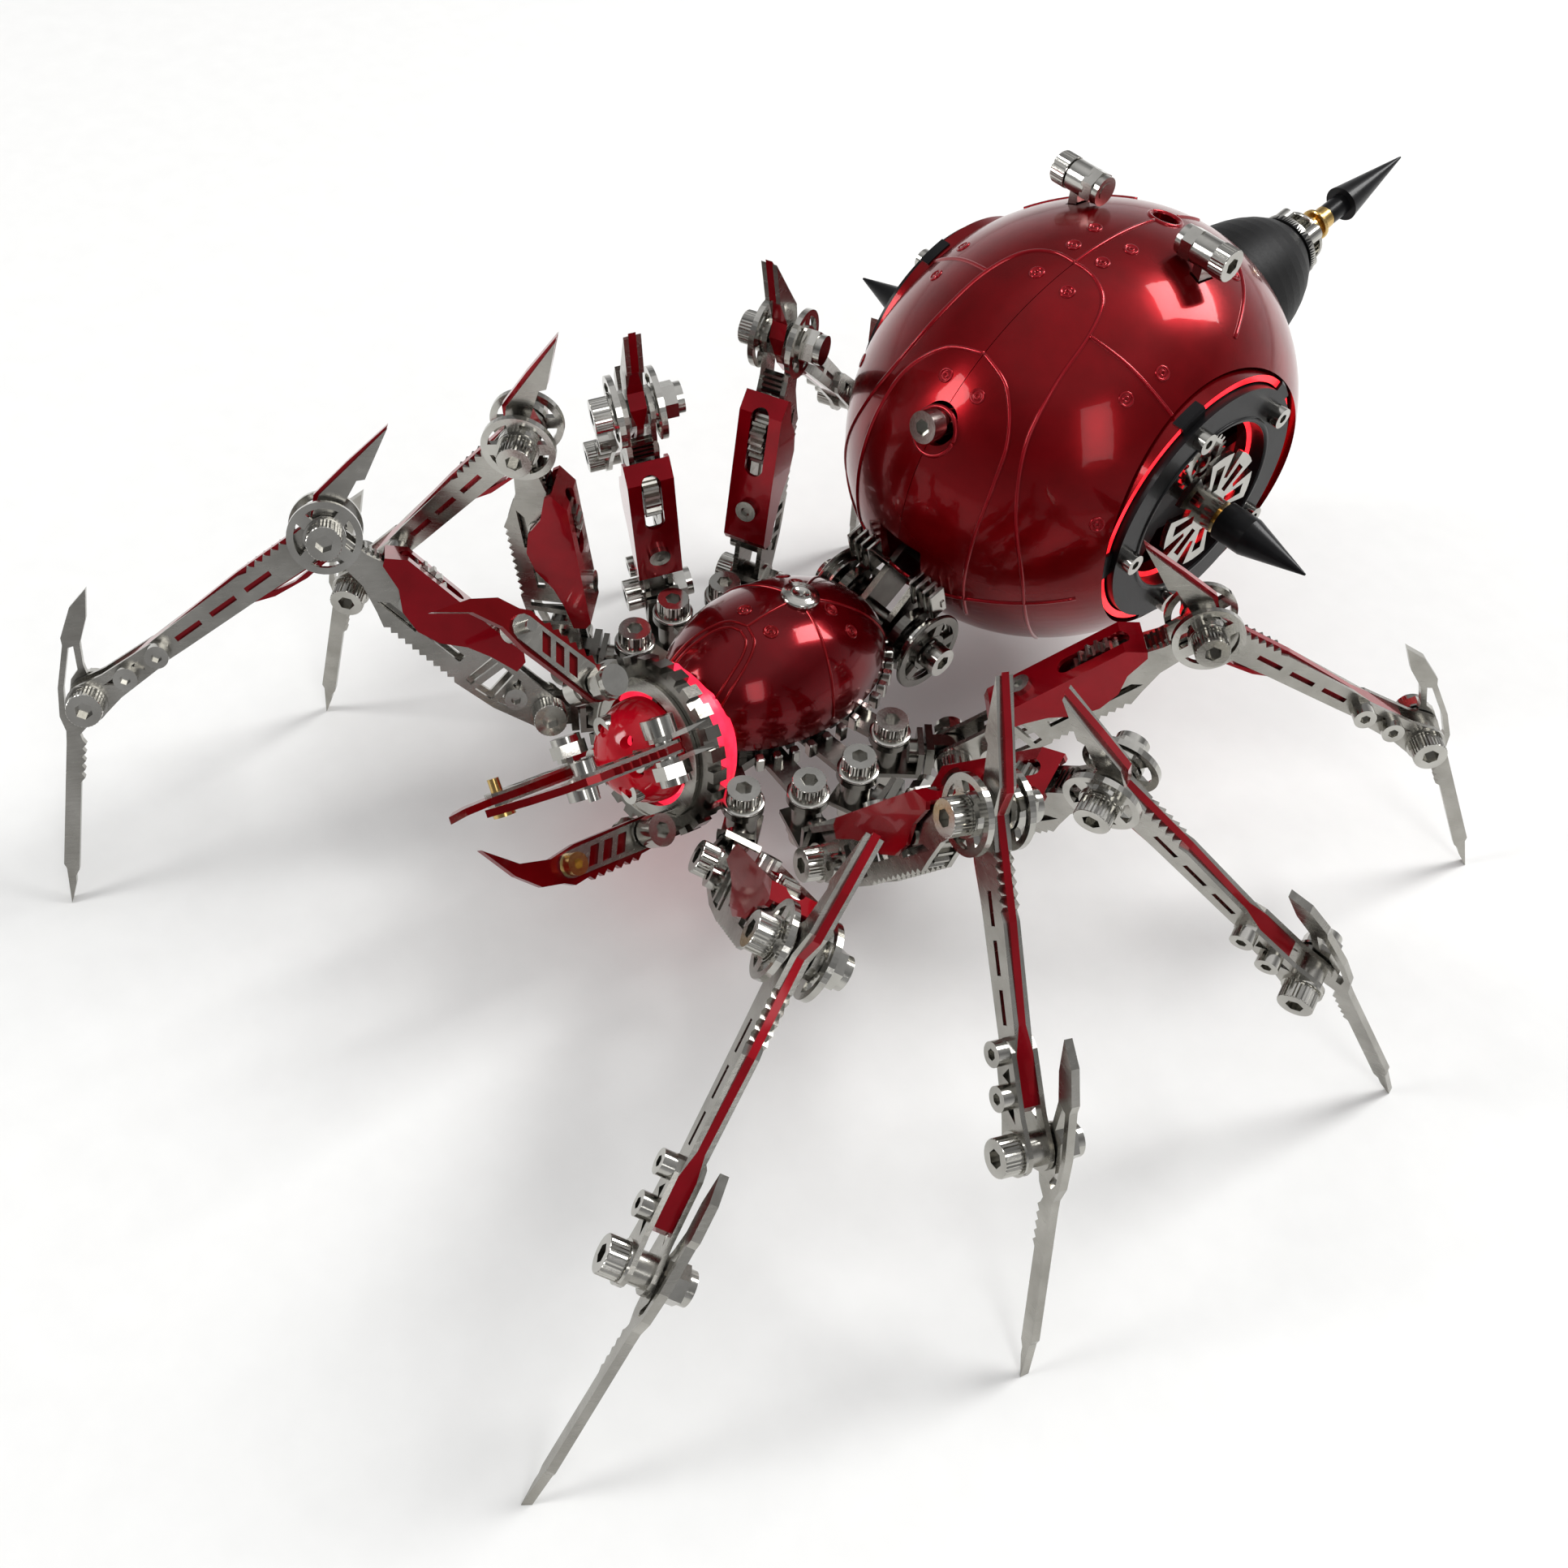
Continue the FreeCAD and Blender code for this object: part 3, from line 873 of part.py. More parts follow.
# ---------------------------------------------------------------- recompute, check and export
doc.recompute()
for obj in doc.Objects:
    bad = [word for word in obj.State if word in ("Invalid", "Error")]
    if bad:
        raise RuntimeError("%s is %s: %s" % (obj.Name, bad, obj.getStatusString()))
for obj in parts:
    if obj.Shape.isNull() or not obj.Shape.isValid() or not obj.Shape.Solids:
        raise RuntimeError("%s has no valid solid" % obj.Label)
    obj.Shape.exportStep("parts/%s.step" % obj.Label)
    box = obj.Shape.BoundBox
    print("%-22s solids %2d  x %7.2f %7.2f  y %7.2f %7.2f  z %7.2f %7.2f" % (
        obj.Label, len(obj.Shape.Solids), box.XMin, box.XMax, box.YMin, box.YMax, box.ZMin, box.ZMax))
for leg, hip, pitch, knee, ankle, axis, shin in joints:
    print(leg, "hip %.3f %.3f %.3f" % tuple(hip), "pitch %.3f %.3f %.3f" % tuple(pitch),
          "knee %.3f %.3f %.3f" % tuple(knee), "ankle %.3f %.3f %.3f" % tuple(ankle),
          "axis %.5f %.5f %.5f" % tuple(axis), "shin %.2f" % shin)
print("parts", len(parts))
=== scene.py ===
import json
import math

import bmesh
import bpy
from mathutils import Matrix, Vector


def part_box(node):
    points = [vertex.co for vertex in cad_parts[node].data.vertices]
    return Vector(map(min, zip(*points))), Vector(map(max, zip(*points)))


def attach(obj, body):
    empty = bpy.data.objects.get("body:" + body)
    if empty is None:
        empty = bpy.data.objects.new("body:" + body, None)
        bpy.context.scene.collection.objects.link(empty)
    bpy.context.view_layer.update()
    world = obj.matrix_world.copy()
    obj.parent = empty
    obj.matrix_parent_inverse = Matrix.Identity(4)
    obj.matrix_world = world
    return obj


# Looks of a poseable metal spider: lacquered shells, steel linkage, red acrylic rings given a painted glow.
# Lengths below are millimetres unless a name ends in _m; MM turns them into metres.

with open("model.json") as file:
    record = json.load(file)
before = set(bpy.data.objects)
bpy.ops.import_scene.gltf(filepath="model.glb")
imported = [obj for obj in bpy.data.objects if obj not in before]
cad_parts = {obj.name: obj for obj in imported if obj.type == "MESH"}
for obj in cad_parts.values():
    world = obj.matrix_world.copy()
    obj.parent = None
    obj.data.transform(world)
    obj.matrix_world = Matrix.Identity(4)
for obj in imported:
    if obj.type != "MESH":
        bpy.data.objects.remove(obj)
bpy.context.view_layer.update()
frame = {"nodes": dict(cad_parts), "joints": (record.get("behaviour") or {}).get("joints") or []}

MM = 0.001
nodes = frame["nodes"]
joint_of = {joint["name"]: joint for joint in frame["joints"]}
LEGS = ["L1", "L2", "L3", "L4", "R1", "R2", "R3", "R4"]

# ---------------------------------------------------------------- where the main forms sit
SHIFT = Vector((-20.7, -31.9, 0.0))          # where the body's own middle line stands in the frame
THORAX = Vector((0.0, 5.2, 34.6)) + SHIFT
THORAX_TILT = -8.5
THORAX_RADII = Vector((15.5, 22.5, 14.0))
HEAD = Vector((0.0, -21.5, 33.0)) + SHIFT
HEAD_TILT = -15.0
ABDOMEN = Vector((0.0, 77.0, 52.5)) + SHIFT
ABDOMEN_TILT = 7.0
ABDOMEN_RADII = Vector((38.0, 44.0, 38.0))
SIDE_AXLE = Vector((0.0, 76.0, 54.0)) + SHIFT
WAIST = Vector((0.0, 32.0, 30.0)) + SHIFT
TAIL = Vector((0.0, 116.0, 61.2)) + SHIFT
TAIL_TILT = 11.5


def place(origin, tilt):
    """Millimetre frame at a point, turned about X by degrees."""
    return Matrix.Translation(origin) @ Matrix.Rotation(math.radians(tilt), 4, "X")


THORAX_PLACE = place(THORAX, THORAX_TILT)
HEAD_PLACE = place(HEAD, HEAD_TILT)
ABDOMEN_PLACE = place(ABDOMEN, ABDOMEN_TILT)
TAIL_PLACE = place(TAIL, TAIL_TILT)


# ---------------------------------------------------------------- materials
def ramp(tree, source, low, high):
    """Colour ramp between two grey or colour stops, fed by a node output."""
    node = tree.nodes.new("ShaderNodeValToRGB")
    node.color_ramp.elements[0].position = low[0]
    node.color_ramp.elements[0].color = low[1]
    node.color_ramp.elements[1].position = high[0]
    node.color_ramp.elements[1].color = high[1]
    tree.links.new(source, node.inputs["Fac"])
    return node.outputs["Color"]


def noise(tree, vector, scale, detail=4.0, stretch=None):
    """Noise in object space, optionally stretched along one direction."""
    if stretch is not None:
        mapping = tree.nodes.new("ShaderNodeMapping")
        mapping.inputs["Scale"].default_value = stretch
        tree.links.new(vector, mapping.inputs["Vector"])
        vector = mapping.outputs["Vector"]
    node = tree.nodes.new("ShaderNodeTexNoise")
    node.inputs["Scale"].default_value = scale
    node.inputs["Detail"].default_value = detail
    tree.links.new(vector, node.inputs["Vector"])
    return node.outputs["Fac"]


PATCH_SCALE = 160.0                          # noise cells a metre for the two-tone patches
PATCH_DETAIL = 5.0
GRAIN_DETAIL = 6.0
BUMP_DEPTH_M = 0.0002
BASE_SHEEN = 0.12
COAT_IOR = 1.26
COAT_ROUGHNESS = 0.04


def finish_material(name, dark, light, metallic, rough_low, rough_high, coat=0.0, grain=900.0,
                    bump=0.05, stretch=None, painted_glow=None, painted_glow_strength=0.0, transmission=0.0):
    """Worn, slightly uneven finish: two-tone colour, patchy roughness and a fine bump; where painted_glow is
    given, a painted glow as emission.
    """
    material = bpy.data.materials.new(name)
    material.use_nodes = True
    tree = material.node_tree
    shader = tree.nodes["Principled BSDF"]
    coords = tree.nodes.new("ShaderNodeTexCoord").outputs["Object"]
    patches = noise(tree, coords, PATCH_SCALE, PATCH_DETAIL)
    fine = noise(tree, coords, grain, GRAIN_DETAIL, stretch)
    colour = ramp(tree, patches, (0.3, (*dark, 1.0)), (0.7, (*light, 1.0)))
    tree.links.new(colour, shader.inputs["Base Color"])
    spread = tree.nodes.new("ShaderNodeMapRange")
    spread.inputs["To Min"].default_value = rough_low
    spread.inputs["To Max"].default_value = rough_high
    tree.links.new(fine, spread.inputs["Value"])
    tree.links.new(spread.outputs["Result"], shader.inputs["Roughness"])
    bumper = tree.nodes.new("ShaderNodeBump")
    bumper.inputs["Strength"].default_value = bump
    bumper.inputs["Distance"].default_value = BUMP_DEPTH_M
    tree.links.new(fine, bumper.inputs["Height"])
    tree.links.new(bumper.outputs["Normal"], shader.inputs["Normal"])
    shader.inputs["Metallic"].default_value = metallic
    shader.inputs["Specular IOR Level"].default_value = BASE_SHEEN
    shader.inputs["Coat IOR"].default_value = COAT_IOR
    shader.inputs["Coat Weight"].default_value = coat
    shader.inputs["Coat Roughness"].default_value = COAT_ROUGHNESS
    shader.inputs["Transmission Weight"].default_value = transmission
    # painted glow: emission colour on parts that are no lamp, dimmer in some patches
    if painted_glow is not None:
        painted_glow_dim = (painted_glow[0] * 0.6, painted_glow[1] * 0.4, painted_glow[2] * 0.4, 1.0)
        painted_glow_ramp = ramp(tree, patches, (0.35, painted_glow_dim), (0.6, (*painted_glow, 1.0)))
        tree.links.new(painted_glow_ramp, shader.inputs["Emission Color"])
        shader.inputs["Emission Strength"].default_value = painted_glow_strength
    return material


RED = finish_material("red_lacquer", (0.150, 0.0004, 0.0020), (0.205, 0.0008, 0.0036), 0.62, 0.19, 0.30,
                      coat=0.6, grain=5200.0, bump=0.02)
# Lighter copy of the red lacquer: a painted highlight along the abdomen's ribs, rivets and hole rims, which
# are the shell's own red.
RIB_PAINTED_HIGHLIGHT = finish_material("red_lacquer_painted_highlight_rib", (0.21, 0.0012, 0.0050), (0.29, 0.0024, 0.0085), 0.6, 0.18, 0.30,
                       coat=0.8, grain=3000.0, bump=0.03)
MAROON = finish_material("maroon_lacquer", (0.100, 0.0004, 0.0022), (0.140, 0.0007, 0.0036),
                         0.62, 0.13, 0.22, coat=0.7, grain=5200.0, bump=0.02)
# Lighter copy of the red lacquer: a painted highlight on the femur covers and tibia cores.
RED_PAINTED_HIGHLIGHT = finish_material("red_lacquer_painted_highlight", (0.23, 0.0010, 0.0055), (0.31, 0.0018, 0.0090),
                             0.60, 0.14, 0.25, coat=1.0, grain=5200.0, bump=0.02)
STEEL = finish_material("brushed_steel", (0.30, 0.29, 0.262), (0.43, 0.418, 0.385), 1.0, 0.16, 0.34,
                        grain=1400.0, bump=0.04, stretch=(0.25, 0.25, 1.6))
BRIGHT = finish_material("polished_steel", (0.38, 0.37, 0.34), (0.52, 0.51, 0.475), 1.0, 0.09, 0.22,
                         grain=2600.0, bump=0.03)
DARK = finish_material("dark_steel", (0.13, 0.125, 0.11), (0.22, 0.21, 0.19), 1.0, 0.14, 0.30,
                       grain=1700.0, bump=0.05)
GUNMETAL = finish_material("gunmetal", (0.050, 0.049, 0.046), (0.105, 0.102, 0.096), 0.95, 0.20, 0.40,
                           grain=1900.0, bump=0.06)
BLACK = finish_material("black_satin", (0.0030, 0.0030, 0.0035), (0.0080, 0.0080, 0.0086), 0.0, 0.24, 0.40,
                        coat=0.15, grain=2600.0, bump=0.04)
RUBBER = finish_material("black_rubber", (0.0045, 0.0045, 0.0045), (0.011, 0.011, 0.011), 0.0, 0.40, 0.58,
                         grain=2200.0, bump=0.12)
BRASS = finish_material("brass", (0.46, 0.30, 0.10), (0.66, 0.47, 0.19), 1.0, 0.14, 0.30,
                        grain=2200.0, bump=0.06)
# Red acrylic of the light rings with a painted glow: emission, though the rings are no lamp.
RED_PAINTED_GLOW = finish_material("red_light", (0.55, 0.008, 0.020), (0.75, 0.015, 0.030), 0.0, 0.10, 0.30,
                       grain=1200.0, bump=0.05, painted_glow=(1.0, 0.022, 0.030), painted_glow_strength=2.4)
# Clear red plastic of the neck with a painted glow as emission; the neck is no lamp.
NECK_PAINTED_GLOW = finish_material("neck_light", (0.60, 0.010, 0.035), (0.80, 0.030, 0.070), 0.0, 0.10, 0.30,
                            grain=1200.0, bump=0.05, painted_glow=(1.0, 0.030, 0.075), painted_glow_strength=1.3)
# Clear red dome plastic, partly see-through, with a faint painted glow as emission.
CLEAR_RED_PAINTED_GLOW = finish_material("red_clear", (0.30, 0.002, 0.009), (0.44, 0.005, 0.016), 0.0, 0.06, 0.20, coat=0.6,
                        grain=1500.0, bump=0.04, painted_glow=(0.8, 0.006, 0.018), painted_glow_strength=0.12,
                        transmission=0.25)


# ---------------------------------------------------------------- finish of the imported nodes
def paint(node, finishes, choose=None):
    """Gives a node its finishes; choose picks one by face centre and normal."""
    mesh = nodes[node].data
    mesh.materials.clear()
    for finish in finishes:
        mesh.materials.append(finish)
    if choose is None:
        return
    for polygon in mesh.polygons:
        polygon.material_index = choose(polygon.center / MM, polygon.normal)


def joint_frame(name):
    """Where a joint stands, in millimetres, and the way its axis points."""
    joint = joint_of[name]
    return Vector(joint["pos_m"]) / MM, Vector(joint["axis"]).normalized()


def off_axis(point, origin, axis):
    """Distance from the axis, and signed distance along it."""
    along = (point - origin).dot(axis)
    return ((point - origin) - axis * along).length, along


HIP_SCREW_ABOVE = 4.3                        # up the hip axis from here on is washer and screw head
HIP_NUT_BELOW = -3.7


def paint_coxa(leg):
    """Dark hip bracket with a bright screw and nut."""
    base, up = joint_frame("hip_yaw_" + leg)

    def choose(point, normal):
        along = off_axis(point, base, up)[1]
        return 1 if along > HIP_SCREW_ABOVE or along < HIP_NUT_BELOW else 0
    paint("coxa_" + leg, [DARK, BRIGHT], choose)


FEMUR_OUTSIDE = 2.68                         # screws, washers and knee wheels lie beyond the side plates
FEMUR_INSIDE = 1.72                          # gear, saddle and spacers lie between them, painted dark as shade between the plates


def paint_femur(leg):
    """Brushed side plates, bright outside them, and dark steel between them as painted shade."""
    pivot, axis = joint_frame("hip_pitch_" + leg)

    def choose(point, normal):
        along = off_axis(point, pivot, axis)[1]
        if abs(along) > FEMUR_OUTSIDE:
            return 1
        # painted shade: what lies between the side plates takes dark steel
        return 2 if abs(along) < FEMUR_INSIDE else 0
    paint("femur_frame_" + leg, [STEEL, BRIGHT, DARK], choose)


def cover_side(leg, run, axis):
    """Direction across a femur and its hinge axis, toward the femur's cover."""
    outward = run.cross(axis)
    cover_low, cover_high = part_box("femur_cover_" + leg)
    middle = (cover_low + cover_high) / 2 / MM
    pivot = joint_frame("hip_pitch_" + leg)[0]
    return outward if (middle - pivot).dot(outward) > 0 else -outward


BUTTON_ABOVE = 5.85                          # the roof of a femur cover lies just under this
BUTTON_REACH = (14.0, 20.0)


def paint_cover(leg):
    """Red cover, in the lighter painted-highlight copy of the red lacquer, with a bright screw button on its
    roof.
    """
    pivot, axis = joint_frame("hip_pitch_" + leg)
    run = (joint_frame("knee_" + leg)[0] - pivot).normalized()
    outward = cover_side(leg, run, axis)

    def choose(point, normal):
        height = (point - pivot).dot(outward)
        reach = (point - pivot).dot(run)
        return 1 if height > BUTTON_ABOVE and BUTTON_REACH[0] < reach < BUTTON_REACH[1] else 0
    paint("femur_cover_" + leg, [RED_PAINTED_HIGHLIGHT, BRIGHT], choose)


TIBIA_OUTSIDE = 2.25                         # screw heads, washers and nuts
TIBIA_CORE = 0.62                            # half thickness of the red core, with a hair over
ANKLE_CLEAR = 4.0                            # no red core this near the ankle
KNEE_BORE_EDGE = 1.6


def paint_tibia(leg):
    """Steel plates round a red core in the lighter painted-highlight copy of the red lacquer, with bright
    screws.
    """
    knee, axis = joint_frame("knee_" + leg)
    ankle = joint_frame("ankle_" + leg)[0]

    def choose(point, normal):
        radius, along = off_axis(point, knee, axis)
        near_ankle = off_axis(point, ankle, axis)[0]
        if abs(along) < TIBIA_CORE and near_ankle > ANKLE_CLEAR and radius > KNEE_BORE_EDGE:
            return 2
        return 1 if abs(along) > TIBIA_OUTSIDE else 0
    paint("tibia_" + leg, [STEEL, BRIGHT, RED_PAINTED_HIGHLIGHT], choose)


for leg in LEGS:
    paint_coxa(leg)
    paint_femur(leg)
    paint_cover(leg)
    paint_tibia(leg)
    paint("tarsus_" + leg, [STEEL])

CLAWS = ["upper_left", "lower_left", "lower_right", "upper_right"]
CLAW_SCREW_SPAN = (13.9, 18.1)               # how far from the hinge the claw's second screw lies
CLAW_SCREW_ABOVE = 1.12
CLAW_CORE = 0.61


def paint_claw(name):
    """Red core between steel covers; brass second screw on the lower claws."""
    pivot, axis = joint_frame("claw_hinge_" + name)

    def choose(point, normal):
        radius, along = off_axis(point, pivot, axis)
        if CLAW_SCREW_SPAN[0] < radius < CLAW_SCREW_SPAN[1] and abs(along) > CLAW_SCREW_ABOVE:
            return 2
        return 0 if abs(along) < CLAW_CORE else 1
    screw = BRASS if name in ("lower_right", "lower_left") else BRIGHT
    paint("claw_" + name, [RED, STEEL, screw], choose)


for name in CLAWS:
    paint_claw(name)

INTO_HEAD = HEAD_PLACE.inverted()
INTO_THORAX = THORAX_PLACE.inverted()
INTO_ABDOMEN = ABDOMEN_PLACE.inverted()
INTO_TAIL = TAIL_PLACE.inverted()

RING_FRONT = -1.55                           # face of the toothed ring; lugs and screws stand before it
RING_HUB_RADIUS = 11.0
DOME_MIDDLE = Vector((0.0, -1.6, 0.0))
DOME_RADIUS = 9.05
BUTTON_SEAT = 14.02                          # top of the thorax shell, under its screw button
WHEEL_BUSH_RADIUS = 3.1
WHEEL_FACE = 32.95
BUSH_BRASS_FROM = 34.9
DRUM_RADIUS = 21.7
DRUM_FROM = 5.0
BRACKET_UNDER = 52.0
BRACKET_FORWARD = 19.0
RING_FACE_OUT = 31.45
COLLAR_END = 32.5
TAIL_DOME_END = 20.5
WAIST_SCREW_FROM = 10.0
FACING_SIDEWAYS = 0.5


def side_radius(point):
    """Distance from the side wheels' axle."""
    return math.hypot(point.y - SIDE_AXLE.y, point.z - SIDE_AXLE.z)


def choose_ring(point, normal):
    """Toothed ring dark, hub red, lugs and screws bright."""
    local = INTO_HEAD @ point
    if local.y < RING_FRONT:
        return 1
    return 0 if math.hypot(local.x, local.z) > RING_HUB_RADIUS else 2


def choose_dome(point, normal):
    """Round dome clear red with a faint painted glow, its four screws steel."""
    return 1 if (INTO_HEAD @ point - DOME_MIDDLE).length > DOME_RADIUS else 0


def choose_thorax(point, normal):
    """Maroon shell with a bright screw button on top."""
    return 1 if (INTO_THORAX @ point).z > BUTTON_SEAT else 0


def choose_waist(point, normal):
    """Dark wheels with bright discs and screws at the ends."""
    return 1 if abs(point.x - WAIST.x) > WAIST_SCREW_FROM else 0


def choose_painted_glow(point, normal):
    """Painted glow on the faces that look sideways, red lacquer on the rims."""
    return 0 if abs(normal.x) > FACING_SIDEWAYS else 1


def choose_wheels(point, normal):
    """Bright spoked wheels, dark bushes with a brass end under each spike."""
    reach = abs(point.x - SIDE_AXLE.x)
    if side_radius(point) > WHEEL_BUSH_RADIUS or reach < WHEEL_FACE:
        return 0
    return 1 if reach > BUSH_BRASS_FROM else 2


def choose_spear(point, normal):
    """Brass collar, black arrow."""
    return 0 if (INTO_TAIL @ point).y < COLLAR_END else 1


def choose_tail(point, normal):
    """Rubber dome, bright nuts at its end."""
    return 1 if (INTO_TAIL @ point).y > TAIL_DOME_END else 0


def choose_frame(point, normal):
    """The drum and its faces are black, the waist bracket dark, the posts and screws bright."""
    if side_radius(point) < DRUM_RADIUS and abs(point.x - SIDE_AXLE.x) > DRUM_FROM:
        return 1
    return 2 if point.z < BRACKET_UNDER and point.y < ABDOMEN.y - BRACKET_FORWARD else 0


def choose_rings(point, normal):
    """Black rings, bright screws."""
    return 1 if abs(point.x - SIDE_AXLE.x) > RING_FACE_OUT else 0


paint("base_plate", [DARK])
paint("thorax_shell", [MAROON, BRIGHT], choose_thorax)
paint("thorax_track", [GUNMETAL])
paint("head_gear_ring", [DARK, BRIGHT, RED], choose_ring)
# the clear neck piece takes a painted glow
paint("neck_light", [NECK_PAINTED_GLOW])
paint("head_dome", [CLEAR_RED_PAINTED_GLOW, BRIGHT], choose_dome)
paint("waist_wheels", [DARK, BRIGHT], choose_waist)
paint("abdomen_frame", [BRIGHT, BLACK, DARK], choose_frame)
paint("abdomen_shell_left", [RED])
paint("abdomen_shell_right", [RED])
paint("side_rings", [BLACK, BRIGHT], choose_rings)
# the light rings' side faces take the painted glow, their rims red lacquer
paint("light_rings", [RED_PAINTED_GLOW, RED], choose_painted_glow)
paint("side_wheels", [BRIGHT, BRASS, DARK], choose_wheels)
paint("side_spikes", [BLACK])
paint("tail_cone", [RUBBER, BRIGHT], choose_tail)
paint("tail_spear", [BRASS, BLACK], choose_spear)


# ---------------------------------------------------------------- mesh helpers for the trim
def piece(name, build, finish, body, smooth=True):
    """Makes a scene object from a function that fills a bmesh, and fixes it to a body."""
    mesh = from_bmesh(name, build)
    obj = bpy.data.objects.new(name, mesh)
    bpy.context.scene.collection.objects.link(obj)
    mesh.materials.append(finish)
    for polygon in mesh.polygons:
        polygon.use_smooth = smooth
    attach(obj, body)


def from_bmesh(name, build):
    """Mesh filled by a build function, its normals outward."""
    mesh = bpy.data.meshes.new(name)
    work = bmesh.new()
    build(work)
    bmesh.ops.recalc_face_normals(work, faces=work.faces)
    work.to_mesh(mesh)
    work.free()
    return mesh


def turned_point(matrix, radius, angle, height):
    """Point at a radius, an angle in radians and a height about a matrix's Z, in metres."""
    return (matrix @ Vector((radius * math.cos(angle), radius * math.sin(angle), height))) * MM


def bridge(mesh, low, high, closed=True):
    """Faces between two loops of the same number of vertices."""
    count = len(low)
    for k in range(count if closed else count - 1):
        after = (k + 1) % count
        mesh.faces.new((low[k], low[after], high[after], high[k]))


def cap_ends(mesh, rings):
    """Faces over the first and the last loop."""
    mesh.faces.new(rings[-1])
    mesh.faces.new(list(reversed(rings[0])))


def add_lathe(mesh, profile, matrix, segments=40):
    """Adds a turned form: (radius, height) points swept about the matrix's Z, both ends closed."""
    rings = []
    for radius, height in profile:
        rings.append([mesh.verts.new(turned_point(matrix, radius, 2 * math.pi * k / segments, height))
                      for k in range(segments)])
    for low, high in zip(rings, rings[1:]):
        bridge(mesh, low, high)
    cap_ends(mesh, rings)


def add_arc(mesh, matrix, section, start=0.0, stop=360.0, steps=72):
    """Sweeps a closed (radius, height) section about the matrix's Z, all round or between two angles."""
    whole = stop - start >= 360.0
    rings = []
    for k in range(steps if whole else steps + 1):
        angle = math.radians(start + (stop - start) * k / steps)
        rings.append([mesh.verts.new(turned_point(matrix, radius, angle, height))
                      for radius, height in section])
    for low, high in zip(rings, rings[1:]):
        bridge(mesh, low, high)
    if whole:
        bridge(mesh, rings[-1], rings[0])
    else:
        mesh.faces.new(rings[0])
        mesh.faces.new(list(reversed(rings[-1])))


TOOTH = ((0.0, "root"), (0.22, "tip"), (0.5, "tip"), (0.72, "root"))     # shares of one tooth's pitch


def add_cog(mesh, matrix, teeth, tip, root, bore, thick):
    """Adds a flat toothed wheel with an open middle about the matrix's Z."""
    reaches = {"tip": tip, "root": root}
    edge = []
    for k in range(teeth):
        for share, place_on_tooth in TOOTH:
            edge.append((2 * math.pi * (k + share) / teeth, reaches[place_on_tooth]))
    loops = []
    for level in (-thick / 2, thick / 2):
        loops.append([mesh.verts.new(turned_point(matrix, reach, angle, level)) for angle, reach in edge])
        loops.append([mesh.verts.new(turned_point(matrix, bore, angle, level)) for angle, reach in edge])
    for low, high in ((0, 1), (1, 3), (3, 2), (2, 0)):
        bridge(mesh, loops[low], loops[high])


KNURL_TEETH = 32
KNURL_CREST = 0.13
KNURL_GROOVE = 0.02
KNURL_CHAMFER = 0.12
KNURL_END_SCALE = 0.95


def add_knurl(mesh, matrix, radius, height):
    """Adds a knurled sleeve about the matrix's Z, open at both ends."""
    outline = []
    for k in range(KNURL_TEETH * 2):
        reach = radius + (KNURL_CREST if k % 2 else KNURL_GROOVE)
        outline.append((math.pi * k / KNURL_TEETH, reach))
    levels = ((KNURL_END_SCALE, 0.0), (1.0, KNURL_CHAMFER), (1.0, height - KNURL_CHAMFER),
              (KNURL_END_SCALE, height))
    rings = []
    for scale, level in levels:
        rings.append([mesh.verts.new(turned_point(matrix, reach * scale, angle, level))
                      for angle, reach in outline])
    for low, high in zip(rings, rings[1:]):
        bridge(mesh, low, high)


def add_block(mesh, matrix, size, bevel):
    """Adds a chamfered block centred on the matrix."""
    half = Vector(size) / 2
    rings = []
    for inset, level in ((bevel, -half.z), (0.0, -half.z + bevel), (0.0, half.z - bevel), (bevel, half.z)):
        x, y = half.x - inset, half.y - inset
        corners = ((-x + bevel, -y), (x - bevel, -y), (x, -y + bevel), (x, y - bevel),
                   (x - bevel, y), (-x + bevel, y), (-x, y - bevel), (-x, -y + bevel))
        rings.append([mesh.verts.new((matrix @ Vector((a, b, level))) * MM) for a, b in corners])
    for low, high in zip(rings, rings[1:]):
        bridge(mesh, low, high)
    cap_ends(mesh, rings)


RIB_SECTION = [(-1.0, -0.4), (-0.75, 0.45), (-0.3, 0.9), (0.3, 0.9), (0.75, 0.45), (1.0, -0.4)]


def add_tube(mesh, path, normals, width, height):
    """Adds a rounded rib along a path, half sunk in the surface that the normals stand on."""
    rings = []
    for k, spot in enumerate(path):
        ahead = path[min(k + 1, len(path) - 1)] - path[max(k - 1, 0)]
        side = ahead.cross(normals[k]).normalized()
        rings.append([mesh.verts.new((spot + side * (a * width) + normals[k] * (b * height)) * MM)
                      for a, b in RIB_SECTION])
    for low, high in zip(rings, rings[1:]):
        bridge(mesh, low, high, closed=False)
    mesh.faces.new(rings[0])
    mesh.faces.new(list(reversed(rings[-1])))


def smooth_run(points, steps=8):
    """Points along a smooth curve through a few given ones."""
    padded = [points[0]] + points + [points[-1]]
    run = []
    for before, start, stop, after in zip(padded, padded[1:], padded[2:], padded[3:]):
        for k in range(steps):
            t = k / steps
            run.append(0.5 * ((2 * start) + (stop - before) * t
                              + (2 * before - 5 * start + 4 * stop - after) * t * t
                              + (3 * start - before - 3 * stop + after) * t ** 3))
    run.append(points[-1])
    return run


def onto(radii, spot):
    """Point where the line from the middle through a spot leaves an ellipsoid, and the normal there."""
    scale = math.sqrt(sum((spot[k] / radii[k]) ** 2 for k in range(3)))
    held = spot / scale
    normal = Vector([held[k] / radii[k] ** 2 for k in range(3)]).normalized()
    return held, normal


